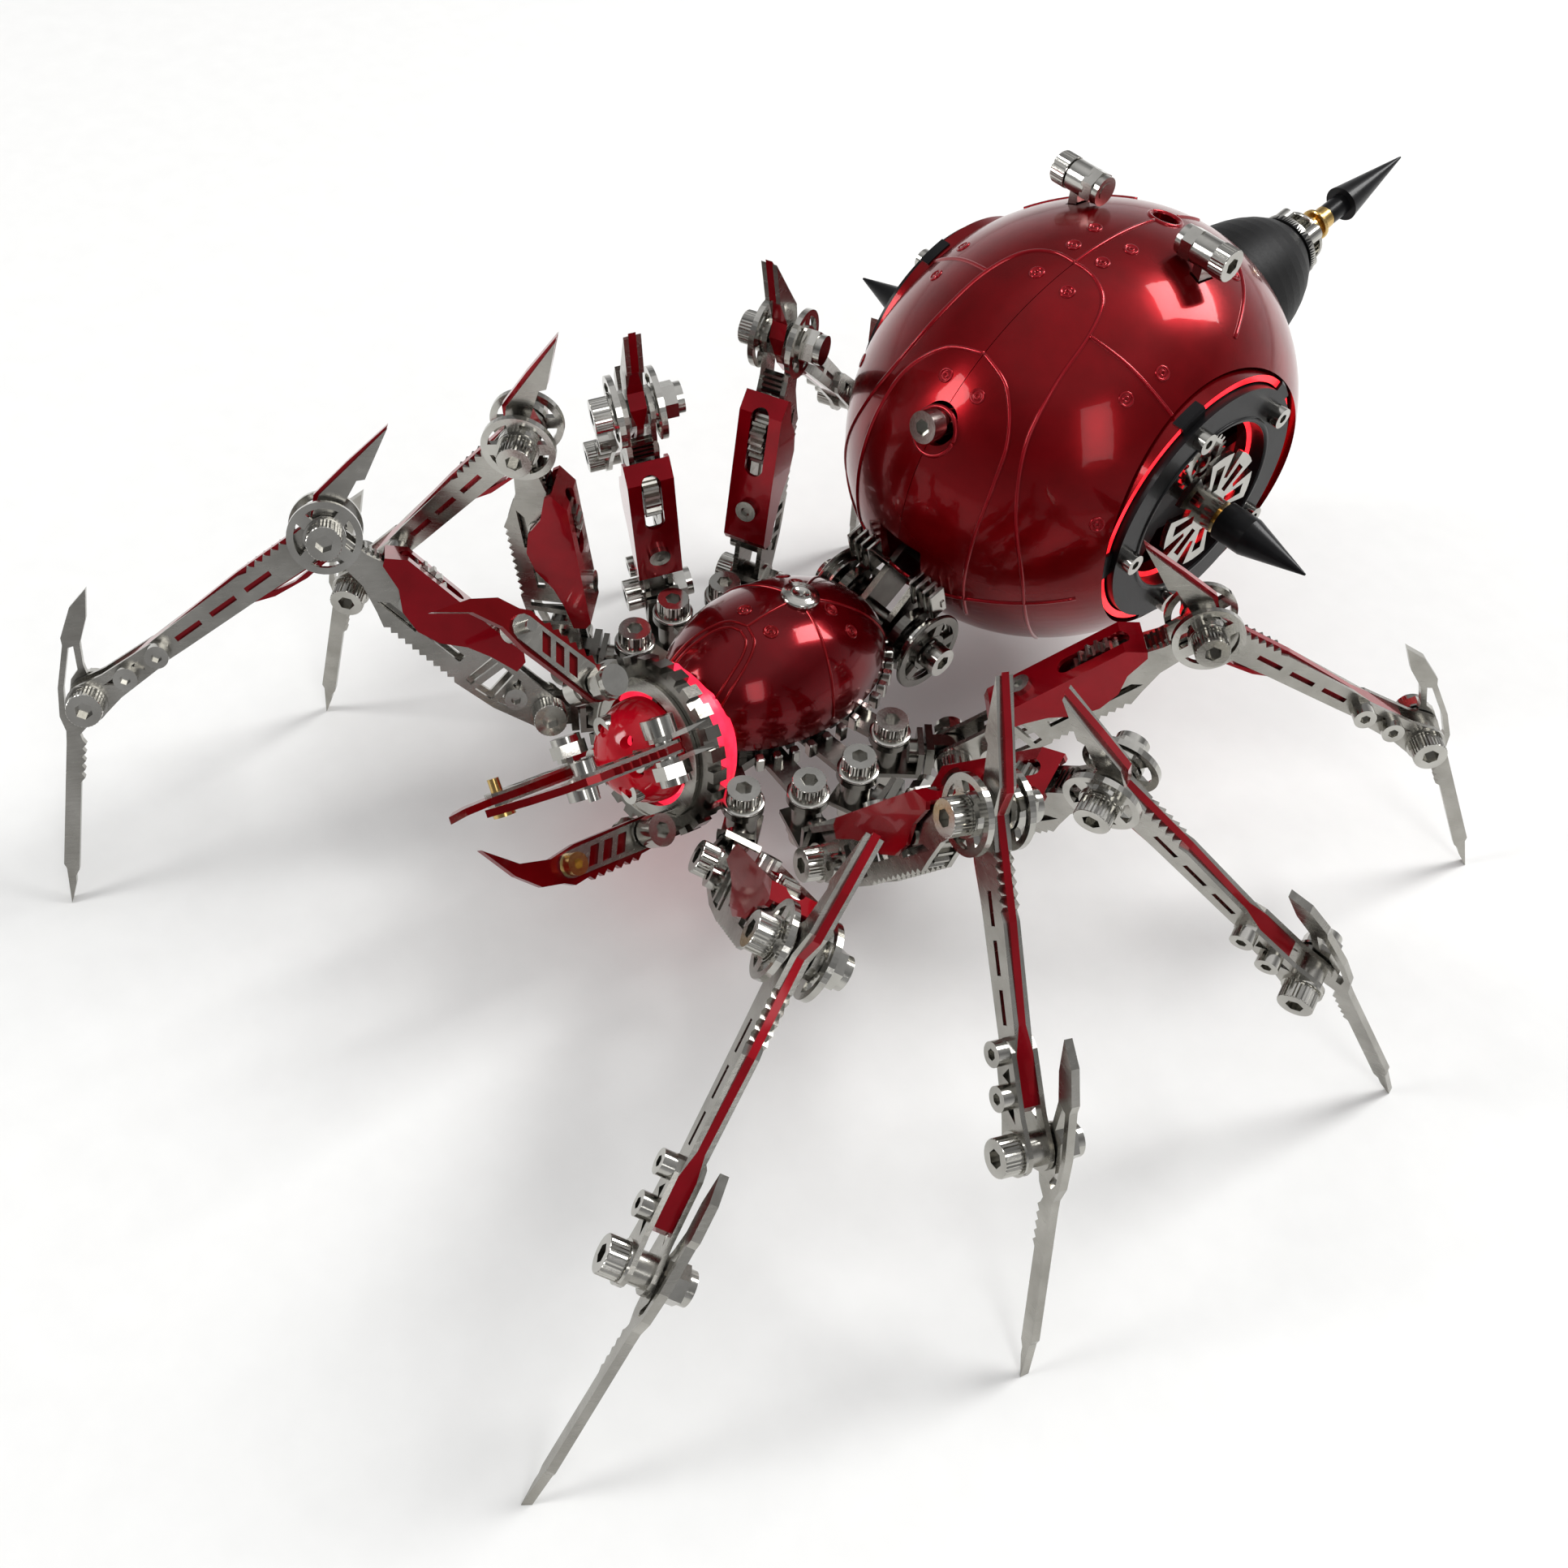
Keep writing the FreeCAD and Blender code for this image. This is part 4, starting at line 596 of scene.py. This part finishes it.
def add_rib(mesh, place_matrix, radii, points, width=0.34, height=0.30):
    """Adds a rib that follows the shell through a few guide points."""
    run = [onto(radii, spot) for spot in smooth_run([Vector(p) for p in points])]
    turn = place_matrix.to_3x3()
    add_tube(mesh, [place_matrix @ spot for spot, normal in run],
             [turn @ normal for spot, normal in run], width, height)


def both_sides(points):
    """A run of points and its mirror image across the middle."""
    return [points, [(-x, y, z) for x, y, z in points]]


def stand_on(place_matrix, radii, spot):
    """Matrix on the shell at a spot, its Z along the shell's normal."""
    held, normal = onto(radii, Vector(spot))
    turn = place_matrix.to_3x3()
    toward = (turn @ normal).to_track_quat("Z", "Y").to_matrix().to_4x4()
    return Matrix.Translation(place_matrix @ held) @ toward


RIVET = [(1.35, -0.25), (1.35, 0.05), (1.2, 0.22), (1.0, 0.22), (0.88, 0.02), (0.62, 0.0), (0.58, 0.18),
         (0.3, 0.24), (0.26, -0.1)]

# ---------------------------------------------------------------- thorax trim
ARCH = [(6.6, -20.0, 3.2), (6.2, -17.6, 6.6), (5.2, -13.6, 10.2), (3.2, -10.4, 12.1), (0.0, -9.2, 12.8)]
INNER_ARCH = [(5.2, -20.4, 4.2), (4.9, -17.8, 7.2), (3.9, -13.9, 10.6), (2.2, -11.4, 12.0),
              (0.0, -10.6, 12.4)]
THORAX_SEAM = [(0.0, -9.2, 12.8), (0.0, -5.0, 13.6), (0.0, -0.4, 14.0)]
THORAX_SADDLE = [(2.4, 1.6, 13.8), (7.0, 0.6, 12.4), (11.4, -0.6, 9.4), (14.4, -1.2, 5.2), (15.5, -1.0, 0.4)]
THORAX_REAR = [(1.6, 5.2, 13.6), (4.6, 10.8, 11.6), (6.8, 15.6, 8.2), (7.8, 18.4, 4.4)]
ARCH_RIB = (0.30, 0.26)
THORAX_RIVETS = [(3.0, -6.4, 12.0), (4.0, 5.6, 12.0), (9.6, 8.2, 12.0)]
RIVET_STEPS = 28
WASHER_BACK = 2.6
WASHER = [(3.25, 13.6), (3.35, 14.3), (3.2, 14.75), (2.3, 14.85), (2.1, 14.95), (1.75, 15.1), (1.35, 15.1),
          (1.2, 14.95)]
TURNED_STEPS = 48


def add_rivets(mesh, place_matrix, radii, spots):
    """Adds a rivet at each spot and at its mirror image."""
    for x, y, z in spots:
        for sign in (-1, 1):
            add_lathe(mesh, RIVET, stand_on(place_matrix, radii, (sign * x, y, z)), RIVET_STEPS)


def thorax_ribs(mesh):
    """Raised ribs of the thorax shell."""
    for points in both_sides(ARCH) + both_sides(INNER_ARCH):
        add_rib(mesh, THORAX_PLACE, THORAX_RADII, points, *ARCH_RIB)
    for points in [THORAX_SEAM] + both_sides(THORAX_SADDLE) + both_sides(THORAX_REAR):
        add_rib(mesh, THORAX_PLACE, THORAX_RADII, points)


def thorax_rivets(mesh):
    """Rivets of the thorax shell."""
    add_rivets(mesh, THORAX_PLACE, THORAX_RADII, THORAX_RIVETS)


def thorax_washer(mesh):
    """Silver washer round the button on top of the shell."""
    add_lathe(mesh, WASHER, THORAX_PLACE @ Matrix.Translation((0.0, WASHER_BACK, 0.0)), TURNED_STEPS)


# ribs and rivets in the lighter abdomen red over the maroon shell: a painted highlight along them
piece("thorax_ribs", thorax_ribs, RED, "thorax")
piece("thorax_rivets", thorax_rivets, RED, "thorax")
piece("thorax_washer", thorax_washer, BRIGHT, "thorax")


LINK_COUNT = 44
LINK_LEVEL = 31.0
LINK_LOOP = (16.2, 23.2)
LINK_SIZE = (1.7, 1.5, 3.0)
LINK_CHAMFER = 0.22
LINK_PHASE = 0.25                            # share of a pitch that the first link is turned by
NECK_SINE = -0.72                            # links further forward than this would meet the neck's painted-glow collar
WAIST_SINE = 0.93                            # and further back than this, the waist


def thorax_links(mesh):
    """Bright blocks of the toothed band under the shell's rim."""
    wide, long = LINK_LOOP
    for k in range(LINK_COUNT):
        angle = 2 * math.pi * (k + LINK_PHASE) / LINK_COUNT
        if not NECK_SINE < math.sin(angle) < WAIST_SINE:
            continue
        spot = Vector((THORAX.x + wide * math.cos(angle), THORAX.y + long * math.sin(angle), LINK_LEVEL))
        heading = math.atan2(math.sin(angle) / long, math.cos(angle) / wide)
        turn = Matrix.Rotation(heading, 4, "Z")
        add_block(mesh, Matrix.Translation(spot) @ turn, LINK_SIZE, LINK_CHAMFER)


piece("thorax_links", thorax_links, BRIGHT, "thorax", smooth=False)

# ---------------------------------------------------------------- abdomen trim
TONGUE = [(13.0, -40.5, -13.0), (13.2, -41.2, -2.0), (13.4, -39.2, 9.0), (13.2, -35.6, 17.5),
          (11.6, -31.0, 24.0), (6.8, -27.0, 29.2), (0.0, -25.4, 31.2)]
OUTER_ARCH = [(19.8, -27.5, -22.5), (21.6, -33.5, -9.0), (21.6, -36.0, 2.4), (18.0, -35.0, 14.5),
              (14.6, -30.2, 23.6), (12.8, -22.4, 30.0), (11.4, -13.0, 34.4), (8.8, -7.2, 36.6),
              (4.4, -4.6, 37.4), (0.0, -4.4, 37.8)]
TO_RING = [(11.4, -13.0, 34.4), (18.6, -11.2, 31.6), (24.6, -9.8, 27.6), (27.2, -9.0, 25.0)]
BELT = [(0.0, -42.6, -8.6), (8.9, -41.9, -7.8), (17.4, -38.7, -5.6), (28.2, -29.0, -3.2)]
TOP_SEAM = [(0.0, -4.4, 37.8), (0.0, 1.0, 38.0), (0.0, 8.4, 37.4), (0.0, 15.9, 35.6)]
REAR_SEAM = [(0.0, 22.3, 32.6), (0.0, 26.0, 30.6), (0.0, 29.0, 28.4)]
REAR_ARC = [(24.0, 10.0, 28.0), (18.0, 19.0, 28.6), (11.0, 25.4, 29.0)]
SHELL_RIVETS = [(3.6, -30.2, 27.2), (3.4, -9.8, 36.9), (22.6, -7.0, 29.9), (21.8, -14.6, 28.6),
                (3.2, -1.2, 37.9), (4.0, 5.0, 37.4), (15.0, 20.0, 30.0), (27.0, -25.0, 12.0)]


SHELL_RIB = (0.42, 0.36)
RIM_RIB = (0.45, 0.36)
HOLE_RIMS = [((0.0, -36.4, 21.2), 4.1), ((0.0, 19.1, 34.2), 2.95)]
RIM_STEPS = 48


def abdomen_ribs(mesh):
    """Raised ribs of the abdomen shells."""
    runs = []
    for half in (TONGUE, OUTER_ARCH, TO_RING, BELT, REAR_ARC):
        runs += both_sides(half)
    for points in runs + [TOP_SEAM, REAR_SEAM]:
        add_rib(mesh, ABDOMEN_PLACE, ABDOMEN_RADII, points, *SHELL_RIB)


def abdomen_rivets(mesh):
    """Rivets of the abdomen shells."""
    add_rivets(mesh, ABDOMEN_PLACE, ABDOMEN_RADII, SHELL_RIVETS)


def hole_rims(mesh):
    """Raised rims of the front and top holes."""
    for spot, radius in HOLE_RIMS:
        seat = stand_on(ABDOMEN_PLACE, ABDOMEN_RADII, spot)
        path = []
        normals = []
        for k in range(RIM_STEPS + 1):
            angle = 2 * math.pi * k / RIM_STEPS
            around = Vector((radius * math.cos(angle), radius * math.sin(angle), 0.0))
            held, normal = onto(ABDOMEN_RADII, INTO_ABDOMEN @ (seat @ around))
            path.append(ABDOMEN_PLACE @ held)
            normals.append(ABDOMEN_PLACE.to_3x3() @ normal)
        add_tube(mesh, path, normals, *RIM_RIB)


# ribs, rivets and rims take the lighter red as a painted highlight
piece("abdomen_ribs", abdomen_ribs, RIB_PAINTED_HIGHLIGHT, "abdomen")
piece("abdomen_rivets", abdomen_rivets, RIB_PAINTED_HIGHLIGHT, "abdomen")
piece("abdomen_hole_rims", hole_rims, RIB_PAINTED_HIGHLIGHT, "abdomen")


TAB_ANGLES = [40.0 + 72.0 * k for k in range(5)]
TAB_HALF = 6.5                               # degrees either side of a ring screw
TAB_SECTION = [(22.5, 28.2), (22.5, 30.15), (22.8, 30.35), (24.4, 30.35), (24.75, 30.1), (24.75, 28.2)]
TAB_STEPS = 6
LIP_SECTION = [(16.5, 31.2), (16.7, 31.62), (17.3, 31.62), (17.5, 31.2)]


def side_matrix(side, origin=SIDE_AXLE):
    """Matrix on the side axle or another point, its Z outward on one side and its X toward the tail."""
    turn = Matrix(((0.0, 0.0, side), (1.0, 0.0, 0.0), (0.0, 1.0, 0.0))).to_4x4()
    return Matrix.Translation(origin) @ turn


def ring_tabs(mesh):
    """Black clips of the side rings, one over the outer painted-glow ring at each ring screw."""
    for side in (-1.0, 1.0):
        for middle in TAB_ANGLES:
            add_arc(mesh, side_matrix(side), TAB_SECTION, middle - TAB_HALF, middle + TAB_HALF, TAB_STEPS)


def ring_grooves(mesh):
    """Stepped inner lip of each black side ring."""
    for side in (-1.0, 1.0):
        add_arc(mesh, side_matrix(side), LIP_SECTION)


SIDE_COG_SPOT = (-2.6, 10.4, 30.4)           # toward the tail, up and outward from the side axle
SIDE_COG_TEETH = 22
SIDE_COG_TIP = 5.6
SIDE_COG_ROOT = 4.8
SIDE_COG_BORE = 3.1
SIDE_COG_THICK = 0.9
SIDE_COG_HUB = [(1.1, -0.45), (1.1, 0.45), (1.9, 0.45), (1.9, -0.45)]
SIDE_COG_SPOKE = (1.6, 0.7, 0.7)
SIDE_COG_SPOKE_AT = 2.5
SPOKE_CHAMFER = 0.1


def side_cogs(mesh):
    """Small pierced cog in the upper part of each side ring, behind the spoked wheel."""
    for side in (-1.0, 1.0):
        seat = side_matrix(side) @ Matrix.Translation(SIDE_COG_SPOT)
        add_cog(mesh, seat, SIDE_COG_TEETH, SIDE_COG_TIP, SIDE_COG_ROOT, SIDE_COG_BORE, SIDE_COG_THICK)
        add_arc(mesh, seat, SIDE_COG_HUB)
        for k in range(4):
            turn = Matrix.Rotation(math.radians(45 + 90 * k), 4, "Z")
            spoke = seat @ turn @ Matrix.Translation((SIDE_COG_SPOKE_AT, 0.0, 0.0))
            add_block(mesh, spoke, SIDE_COG_SPOKE, SPOKE_CHAMFER)


piece("ring_tabs", ring_tabs, BLACK, "abdomen", smooth=False)
piece("ring_grooves", ring_grooves, BLACK, "abdomen")
piece("side_cogs", side_cogs, BRIGHT, "abdomen", smooth=False)

# ---------------------------------------------------------------- neck and head trim
AXIS_BACK = HEAD_PLACE @ Matrix.Rotation(math.radians(-90), 4, "X")   # Z back along the neck
HOOP_STEPS = 96
GLASS_SECTION = [(9.6, 1.56), (13.5, 1.56), (13.7, 1.9), (13.2, 2.7), (13.5, 3.1), (13.0, 3.9), (13.3, 4.3),
                 (12.8, 5.1), (13.0, 5.5), (12.4, 6.3), (12.5, 6.7), (11.8, 7.4), (9.6, 7.4)]
ROD_SPOT = (13.1, 4.4)                       # sideways and downward from the neck's axis
ROD_PROFILE = [(0.6, 1.55), (0.85, 1.7), (0.85, 10.4), (0.6, 10.6)]
ROD_STEPS = 20
HOOP_SECTION = [(9.9, -2.1), (12.3, -2.1), (12.3, -1.58), (11.9, -1.52), (10.3, -1.52), (9.9, -1.6)]
HOOP_LIP = [(12.0, -2.3), (12.35, -2.3), (12.35, -2.0), (12.0, -2.0)]


def neck_glass(mesh):
    """Ridged clear red collar with a painted glow, between the toothed ring and the thorax shell."""
    add_arc(mesh, AXIS_BACK, GLASS_SECTION, steps=HOOP_STEPS)


def neck_rods(mesh):
    """Plain rods from the toothed ring back under the shell."""
    across, down = ROD_SPOT
    for sign in (-1, 1):
        add_lathe(mesh, ROD_PROFILE, AXIS_BACK @ Matrix.Translation((sign * across, down, 0.0)), ROD_STEPS)


def ring_face(mesh):
    """Thin steel hoop on the front of the toothed ring, with a raised lip."""
    for section in (HOOP_SECTION, HOOP_LIP):
        add_arc(mesh, AXIS_BACK, section, steps=HOOP_STEPS)


piece("neck_glass", neck_glass, NECK_PAINTED_GLOW, "thorax")
piece("neck_rods", neck_rods, STEEL, "thorax")
piece("ring_face", ring_face, STEEL, "thorax", smooth=False)


# ---------------------------------------------------------------- waist, tail collar and hip flanges
DISC_RIM = [(6.0, 11.0), (6.0, 11.8), (7.4, 11.8), (7.6, 11.6), (7.6, 11.2), (7.4, 11.0)]
DISC_HUB = [(2.6, 11.0), (2.6, 11.8), (3.6, 11.8), (3.6, 11.0)]
DISC_SPOKES = 5
DISC_SPOKE = (3.0, 2.1, 0.8)
DISC_SPOKE_SPOT = (4.8, 0.0, 11.4)


def waist_discs(mesh):
    """Large pierced disc at each end of the waist axle."""
    for side in (-1.0, 1.0):
        seat = side_matrix(side, WAIST)
        add_arc(mesh, seat, DISC_RIM)
        add_arc(mesh, seat, DISC_HUB)
        for k in range(DISC_SPOKES):
            turn = Matrix.Rotation(2 * math.pi * k / DISC_SPOKES, 4, "Z")
            add_block(mesh, seat @ turn @ Matrix.Translation(DISC_SPOKE_SPOT), DISC_SPOKE, SPOKE_CHAMFER)


TAIL_BACK = TAIL_PLACE @ Matrix.Rotation(math.radians(-90), 4, "X")   # Z back along the tail
TAIL_WASHER = [(1.6, 24.85), (4.9, 24.85), (5.1, 25.0), (5.1, 25.35), (4.9, 25.5), (1.6, 25.5)]
SPOOL_LEVELS = (26.1, 29.2)
SPOOL_FLANGE = [(1.0, 0.0), (2.9, 0.0), (3.1, 0.2), (3.1, 0.6), (2.9, 0.8), (1.0, 0.8)]


def tail_washer(mesh):
    """Steel washer where the brass collar meets the tail dome."""
    add_lathe(mesh, TAIL_WASHER, TAIL_BACK)


def tail_spool(mesh):
    """Flanges of the brass collar."""
    for level in SPOOL_LEVELS:
        add_lathe(mesh, SPOOL_FLANGE, TAIL_BACK @ Matrix.Translation((0.0, 0.0, level)))


piece("waist_discs", waist_discs, DARK, "thorax", smooth=False)
piece("tail_washer", tail_washer, BRIGHT, "abdomen", smooth=False)
piece("tail_spool", tail_spool, BRASS, "abdomen", smooth=False)

FIN_SPOTS = (5.4, 7.0, 8.6, 10.2)
FIN_BACK_AND_UP = (33.9, 40.0)
FIN_SIZE = (0.7, 3.4, 6.4)
FIN_LEAN = 16.0
TIE_SPOT = (6.6, 34.9, 39.4)
TIE_SIZE = (8.4, 0.9, 1.6)
FIN_CHAMFER = 0.15


def waist_fins(mesh):
    """Two stacks of thin cooling fins under the front of the abdomen, above the waist wheels."""
    for sign in (-1, 1):
        for x in FIN_SPOTS:
            lean = place(Vector((sign * x, *FIN_BACK_AND_UP)) + SHIFT, FIN_LEAN)
            add_block(mesh, lean, FIN_SIZE, FIN_CHAMFER)
        across, back, up = TIE_SPOT
        add_block(mesh, place(Vector((sign * across, back, up)) + SHIFT, FIN_LEAN), TIE_SIZE, FIN_CHAMFER)


piece("waist_fins", waist_fins, BRIGHT, "abdomen", smooth=False)

FLANGE = [(3.2, 4.5), (3.5, 4.52), (3.6, 4.6), (3.6, 4.8), (3.5, 4.92), (2.9, 4.96)]


def hip_flange(leg):
    """Turned flange under one hip screw's head."""
    seat = Matrix.Translation(joint_frame("hip_yaw_" + leg)[0])

    def build(mesh):
        add_lathe(mesh, FLANGE, seat, TURNED_STEPS)
    piece("hip_flange_" + leg, build, BRIGHT, "coxa_" + leg)


for leg in LEGS:
    hip_flange(leg)


# ---------------------------------------------------------------- knurled screw heads
def head_matrix(spot, direction):
    """Matrix at a spot, its Z along a direction."""
    return Matrix.Translation(spot) @ direction.to_track_quat("Z", "Y").to_matrix().to_4x4()


HIP_HEAD_BASE = 4.9                          # how far out from its joint's middle each screw head starts
KNEE_HEAD_BASE = 4.35
PITCH_HEAD_BASE = 3.05
ANKLE_HEAD_BASE = 2.6
HEAD_RADIUS = 2.75
HEAD_HEIGHT = 3.0


def knurled(name, spot, direction, body, base):
    """Knurled band round one socket head, base millimetres out from the joint's middle."""
    def build(mesh):
        add_knurl(mesh, head_matrix(spot + direction * base, direction), HEAD_RADIUS, HEAD_HEIGHT)
    piece(name, build, BRIGHT, body, smooth=False)


def leg_knurls(leg):
    """Knurled bands of the four big screw heads of one leg."""
    hip, up = joint_frame("hip_yaw_" + leg)
    knee, axis = joint_frame("knee_" + leg)
    facing = axis * (-1.0 if leg[0] == "L" else 1.0)
    pitch = joint_frame("hip_pitch_" + leg)[0]
    ankle = joint_frame("ankle_" + leg)[0]
    knurled("hip_knurl_" + leg, hip, up, "coxa_" + leg, HIP_HEAD_BASE)
    knurled("pitch_knurl_" + leg, pitch, facing, "femur_" + leg, PITCH_HEAD_BASE)
    knurled("knee_knurl_" + leg, knee, facing, "femur_" + leg, KNEE_HEAD_BASE)
    knurled("ankle_knurl_" + leg, ankle, facing, "tibia_" + leg, ANKLE_HEAD_BASE)


for leg in LEGS:
    leg_knurls(leg)

POST = Vector((0.0, 85.0, 92.0)) + SHIFT
POST_HEAD_BASE = 16.0
for post_name, post_side in (("left", 1.0), ("right", -1.0)):
    knurled("post_knurl_" + post_name, POST, Vector((post_side, 0.0, 0.0)), "abdomen", POST_HEAD_BASE)


# ---------------------------------------------------------------- cogs in the femur cover slots
COG_ALONG = 30.6                             # from the hip pitch joint toward the knee
COG_UP = 0.6
COG_TIP = 6.1
COG_ROOT = 5.35
COG_BORE = 4.0
COG_THICK = 2.6
COG_TEETH = 22


def cover_cog(leg):
    """Toothed wheel standing a little out of the slot in one femur cover."""
    pivot, axis = joint_frame("hip_pitch_" + leg)
    run = (joint_frame("knee_" + leg)[0] - pivot).normalized()
    seat = head_matrix(pivot + run * COG_ALONG + cover_side(leg, run, axis) * COG_UP, axis)

    def build(mesh):
        add_cog(mesh, seat, COG_TEETH, COG_TIP, COG_ROOT, COG_BORE, COG_THICK)
    piece("cover_cog_" + leg, build, STEEL, "femur_" + leg, smooth=False)


for leg in LEGS:
    cover_cog(leg)

# ---------------------------------------------------------------- floor, light and camera
FLOOR = finish_material("pale_floor", (0.815, 0.815, 0.80), (0.835, 0.835, 0.82), 0.0, 0.50, 0.62,
                        grain=900.0, bump=0.004)
FLOOR_HALF = 3000.0
FLOOR_ROWS = 48
FLOOR_LEVEL = -0.02


def floor_grid(mesh):
    """Broad flat sheet under the object."""
    grid = []
    for i in range(FLOOR_ROWS + 1):
        row = []
        for j in range(FLOOR_ROWS + 1):
            x = -FLOOR_HALF + 2 * FLOOR_HALF * i / FLOOR_ROWS
            y = -FLOOR_HALF + 2 * FLOOR_HALF * j / FLOOR_ROWS
            row.append(mesh.verts.new(Vector((x, y, FLOOR_LEVEL)) * MM))
        grid.append(row)
    for i in range(FLOOR_ROWS):
        for j in range(FLOOR_ROWS):
            mesh.faces.new((grid[i][j], grid[i + 1][j], grid[i + 1][j + 1], grid[i][j + 1]))


floor = bpy.data.objects.new("floor", from_bmesh("floor", floor_grid))
bpy.context.scene.collection.objects.link(floor)
floor.data.materials.append(FLOOR)


MIDDLE_M = Vector((-0.01, 0.0, 0.04))
LIGHTS = [                                   # name, place in metres, width, height, watts
    ("key", (0.14, 0.80, 0.80), 0.34, 0.50, 9.4),
    ("fill", (0.85, -0.35, 0.80), 0.30, 0.60, 2.2),
    ("left_window", (-0.62, -0.80, 0.62), 0.30, 0.42, 5.5),
]


def area_light(name, spot, wide, high, power):
    """Soft rectangular light aimed at the middle of the object."""
    data = bpy.data.lights.new(name, "AREA")
    data.shape = "RECTANGLE"
    data.size = wide
    data.size_y = high
    data.energy = power
    lamp = bpy.data.objects.new(name, data)
    lamp.location = Vector(spot)
    lamp.rotation_euler = (MIDDLE_M - Vector(spot)).to_track_quat("-Z", "Y").to_euler()
    bpy.context.scene.collection.objects.link(lamp)


for light in LIGHTS:
    area_light(*light)

SKY_STOPS = [(0.0, 0.72), (0.22, 0.50), (0.50, 0.20), (0.74, 0.40), (0.88, 0.88)]
SKY_BLUE = 1.02
SKY_HEADWARD = 0.62                          # strength of the room's light from the head's side
SKY_TAILWARD = 1.25

world = bpy.data.worlds.new("studio")
bpy.context.scene.world = world
world.use_nodes = True
sky = world.node_tree
direction = sky.nodes.new("ShaderNodeTexCoord").outputs["Generated"]
split = sky.nodes.new("ShaderNodeSeparateXYZ")
sky.links.new(direction, split.inputs["Vector"])
bands = sky.nodes.new("ShaderNodeValToRGB")
for height, level in SKY_STOPS[2:]:
    bands.color_ramp.elements.new(height)
for stop, (height, level) in zip(bands.color_ramp.elements, SKY_STOPS):
    stop.position = height
    stop.color = (level, level, level * SKY_BLUE, 1.0)
sky.links.new(split.outputs["Z"], bands.inputs["Fac"])
sky.links.new(bands.outputs["Color"], sky.nodes["Background"].inputs["Color"])
tailward = sky.nodes.new("ShaderNodeMapRange")
tailward.inputs["From Min"].default_value = -1.0
tailward.inputs["To Min"].default_value = SKY_HEADWARD
tailward.inputs["To Max"].default_value = SKY_TAILWARD
sky.links.new(split.outputs["Y"], tailward.inputs["Value"])
sky.links.new(tailward.outputs["Result"], sky.nodes["Background"].inputs["Strength"])

SENSOR_WIDTH = 36.0
LENS = 41.26
CLIP_M = (0.01, 20.0)
CAMERA_EYE = Vector((151.53, -149.05, 257.2)) + SHIFT
CAMERA_AZIMUTH = 43.58
CAMERA_ELEVATION = 49.56
CAMERA_ROLL = 5.35

camera_data = bpy.data.cameras.new("camera")
camera_data.sensor_width = SENSOR_WIDTH
camera_data.lens = LENS
camera_data.clip_start, camera_data.clip_end = CLIP_M
camera = bpy.data.objects.new("camera", camera_data)
bpy.context.scene.collection.objects.link(camera)
bpy.context.scene.camera = camera
azimuth = math.radians(CAMERA_AZIMUTH)
elevation = math.radians(CAMERA_ELEVATION)
toward_eye = Vector((math.sin(azimuth) * math.cos(elevation),
                     -math.cos(azimuth) * math.cos(elevation),
                     math.sin(elevation)))
level_right = Vector((math.cos(azimuth), math.sin(azimuth), 0.0))
level_up = toward_eye.cross(level_right)
roll = math.radians(CAMERA_ROLL)
right = level_right * math.cos(roll) + level_up * math.sin(roll)
up = level_up * math.cos(roll) - level_right * math.sin(roll)
turned = Matrix((right, up, toward_eye)).transposed().to_4x4()
camera.matrix_world = Matrix.Translation(CAMERA_EYE * MM) @ turned

bpy.context.scene.view_settings.view_transform = "Standard"
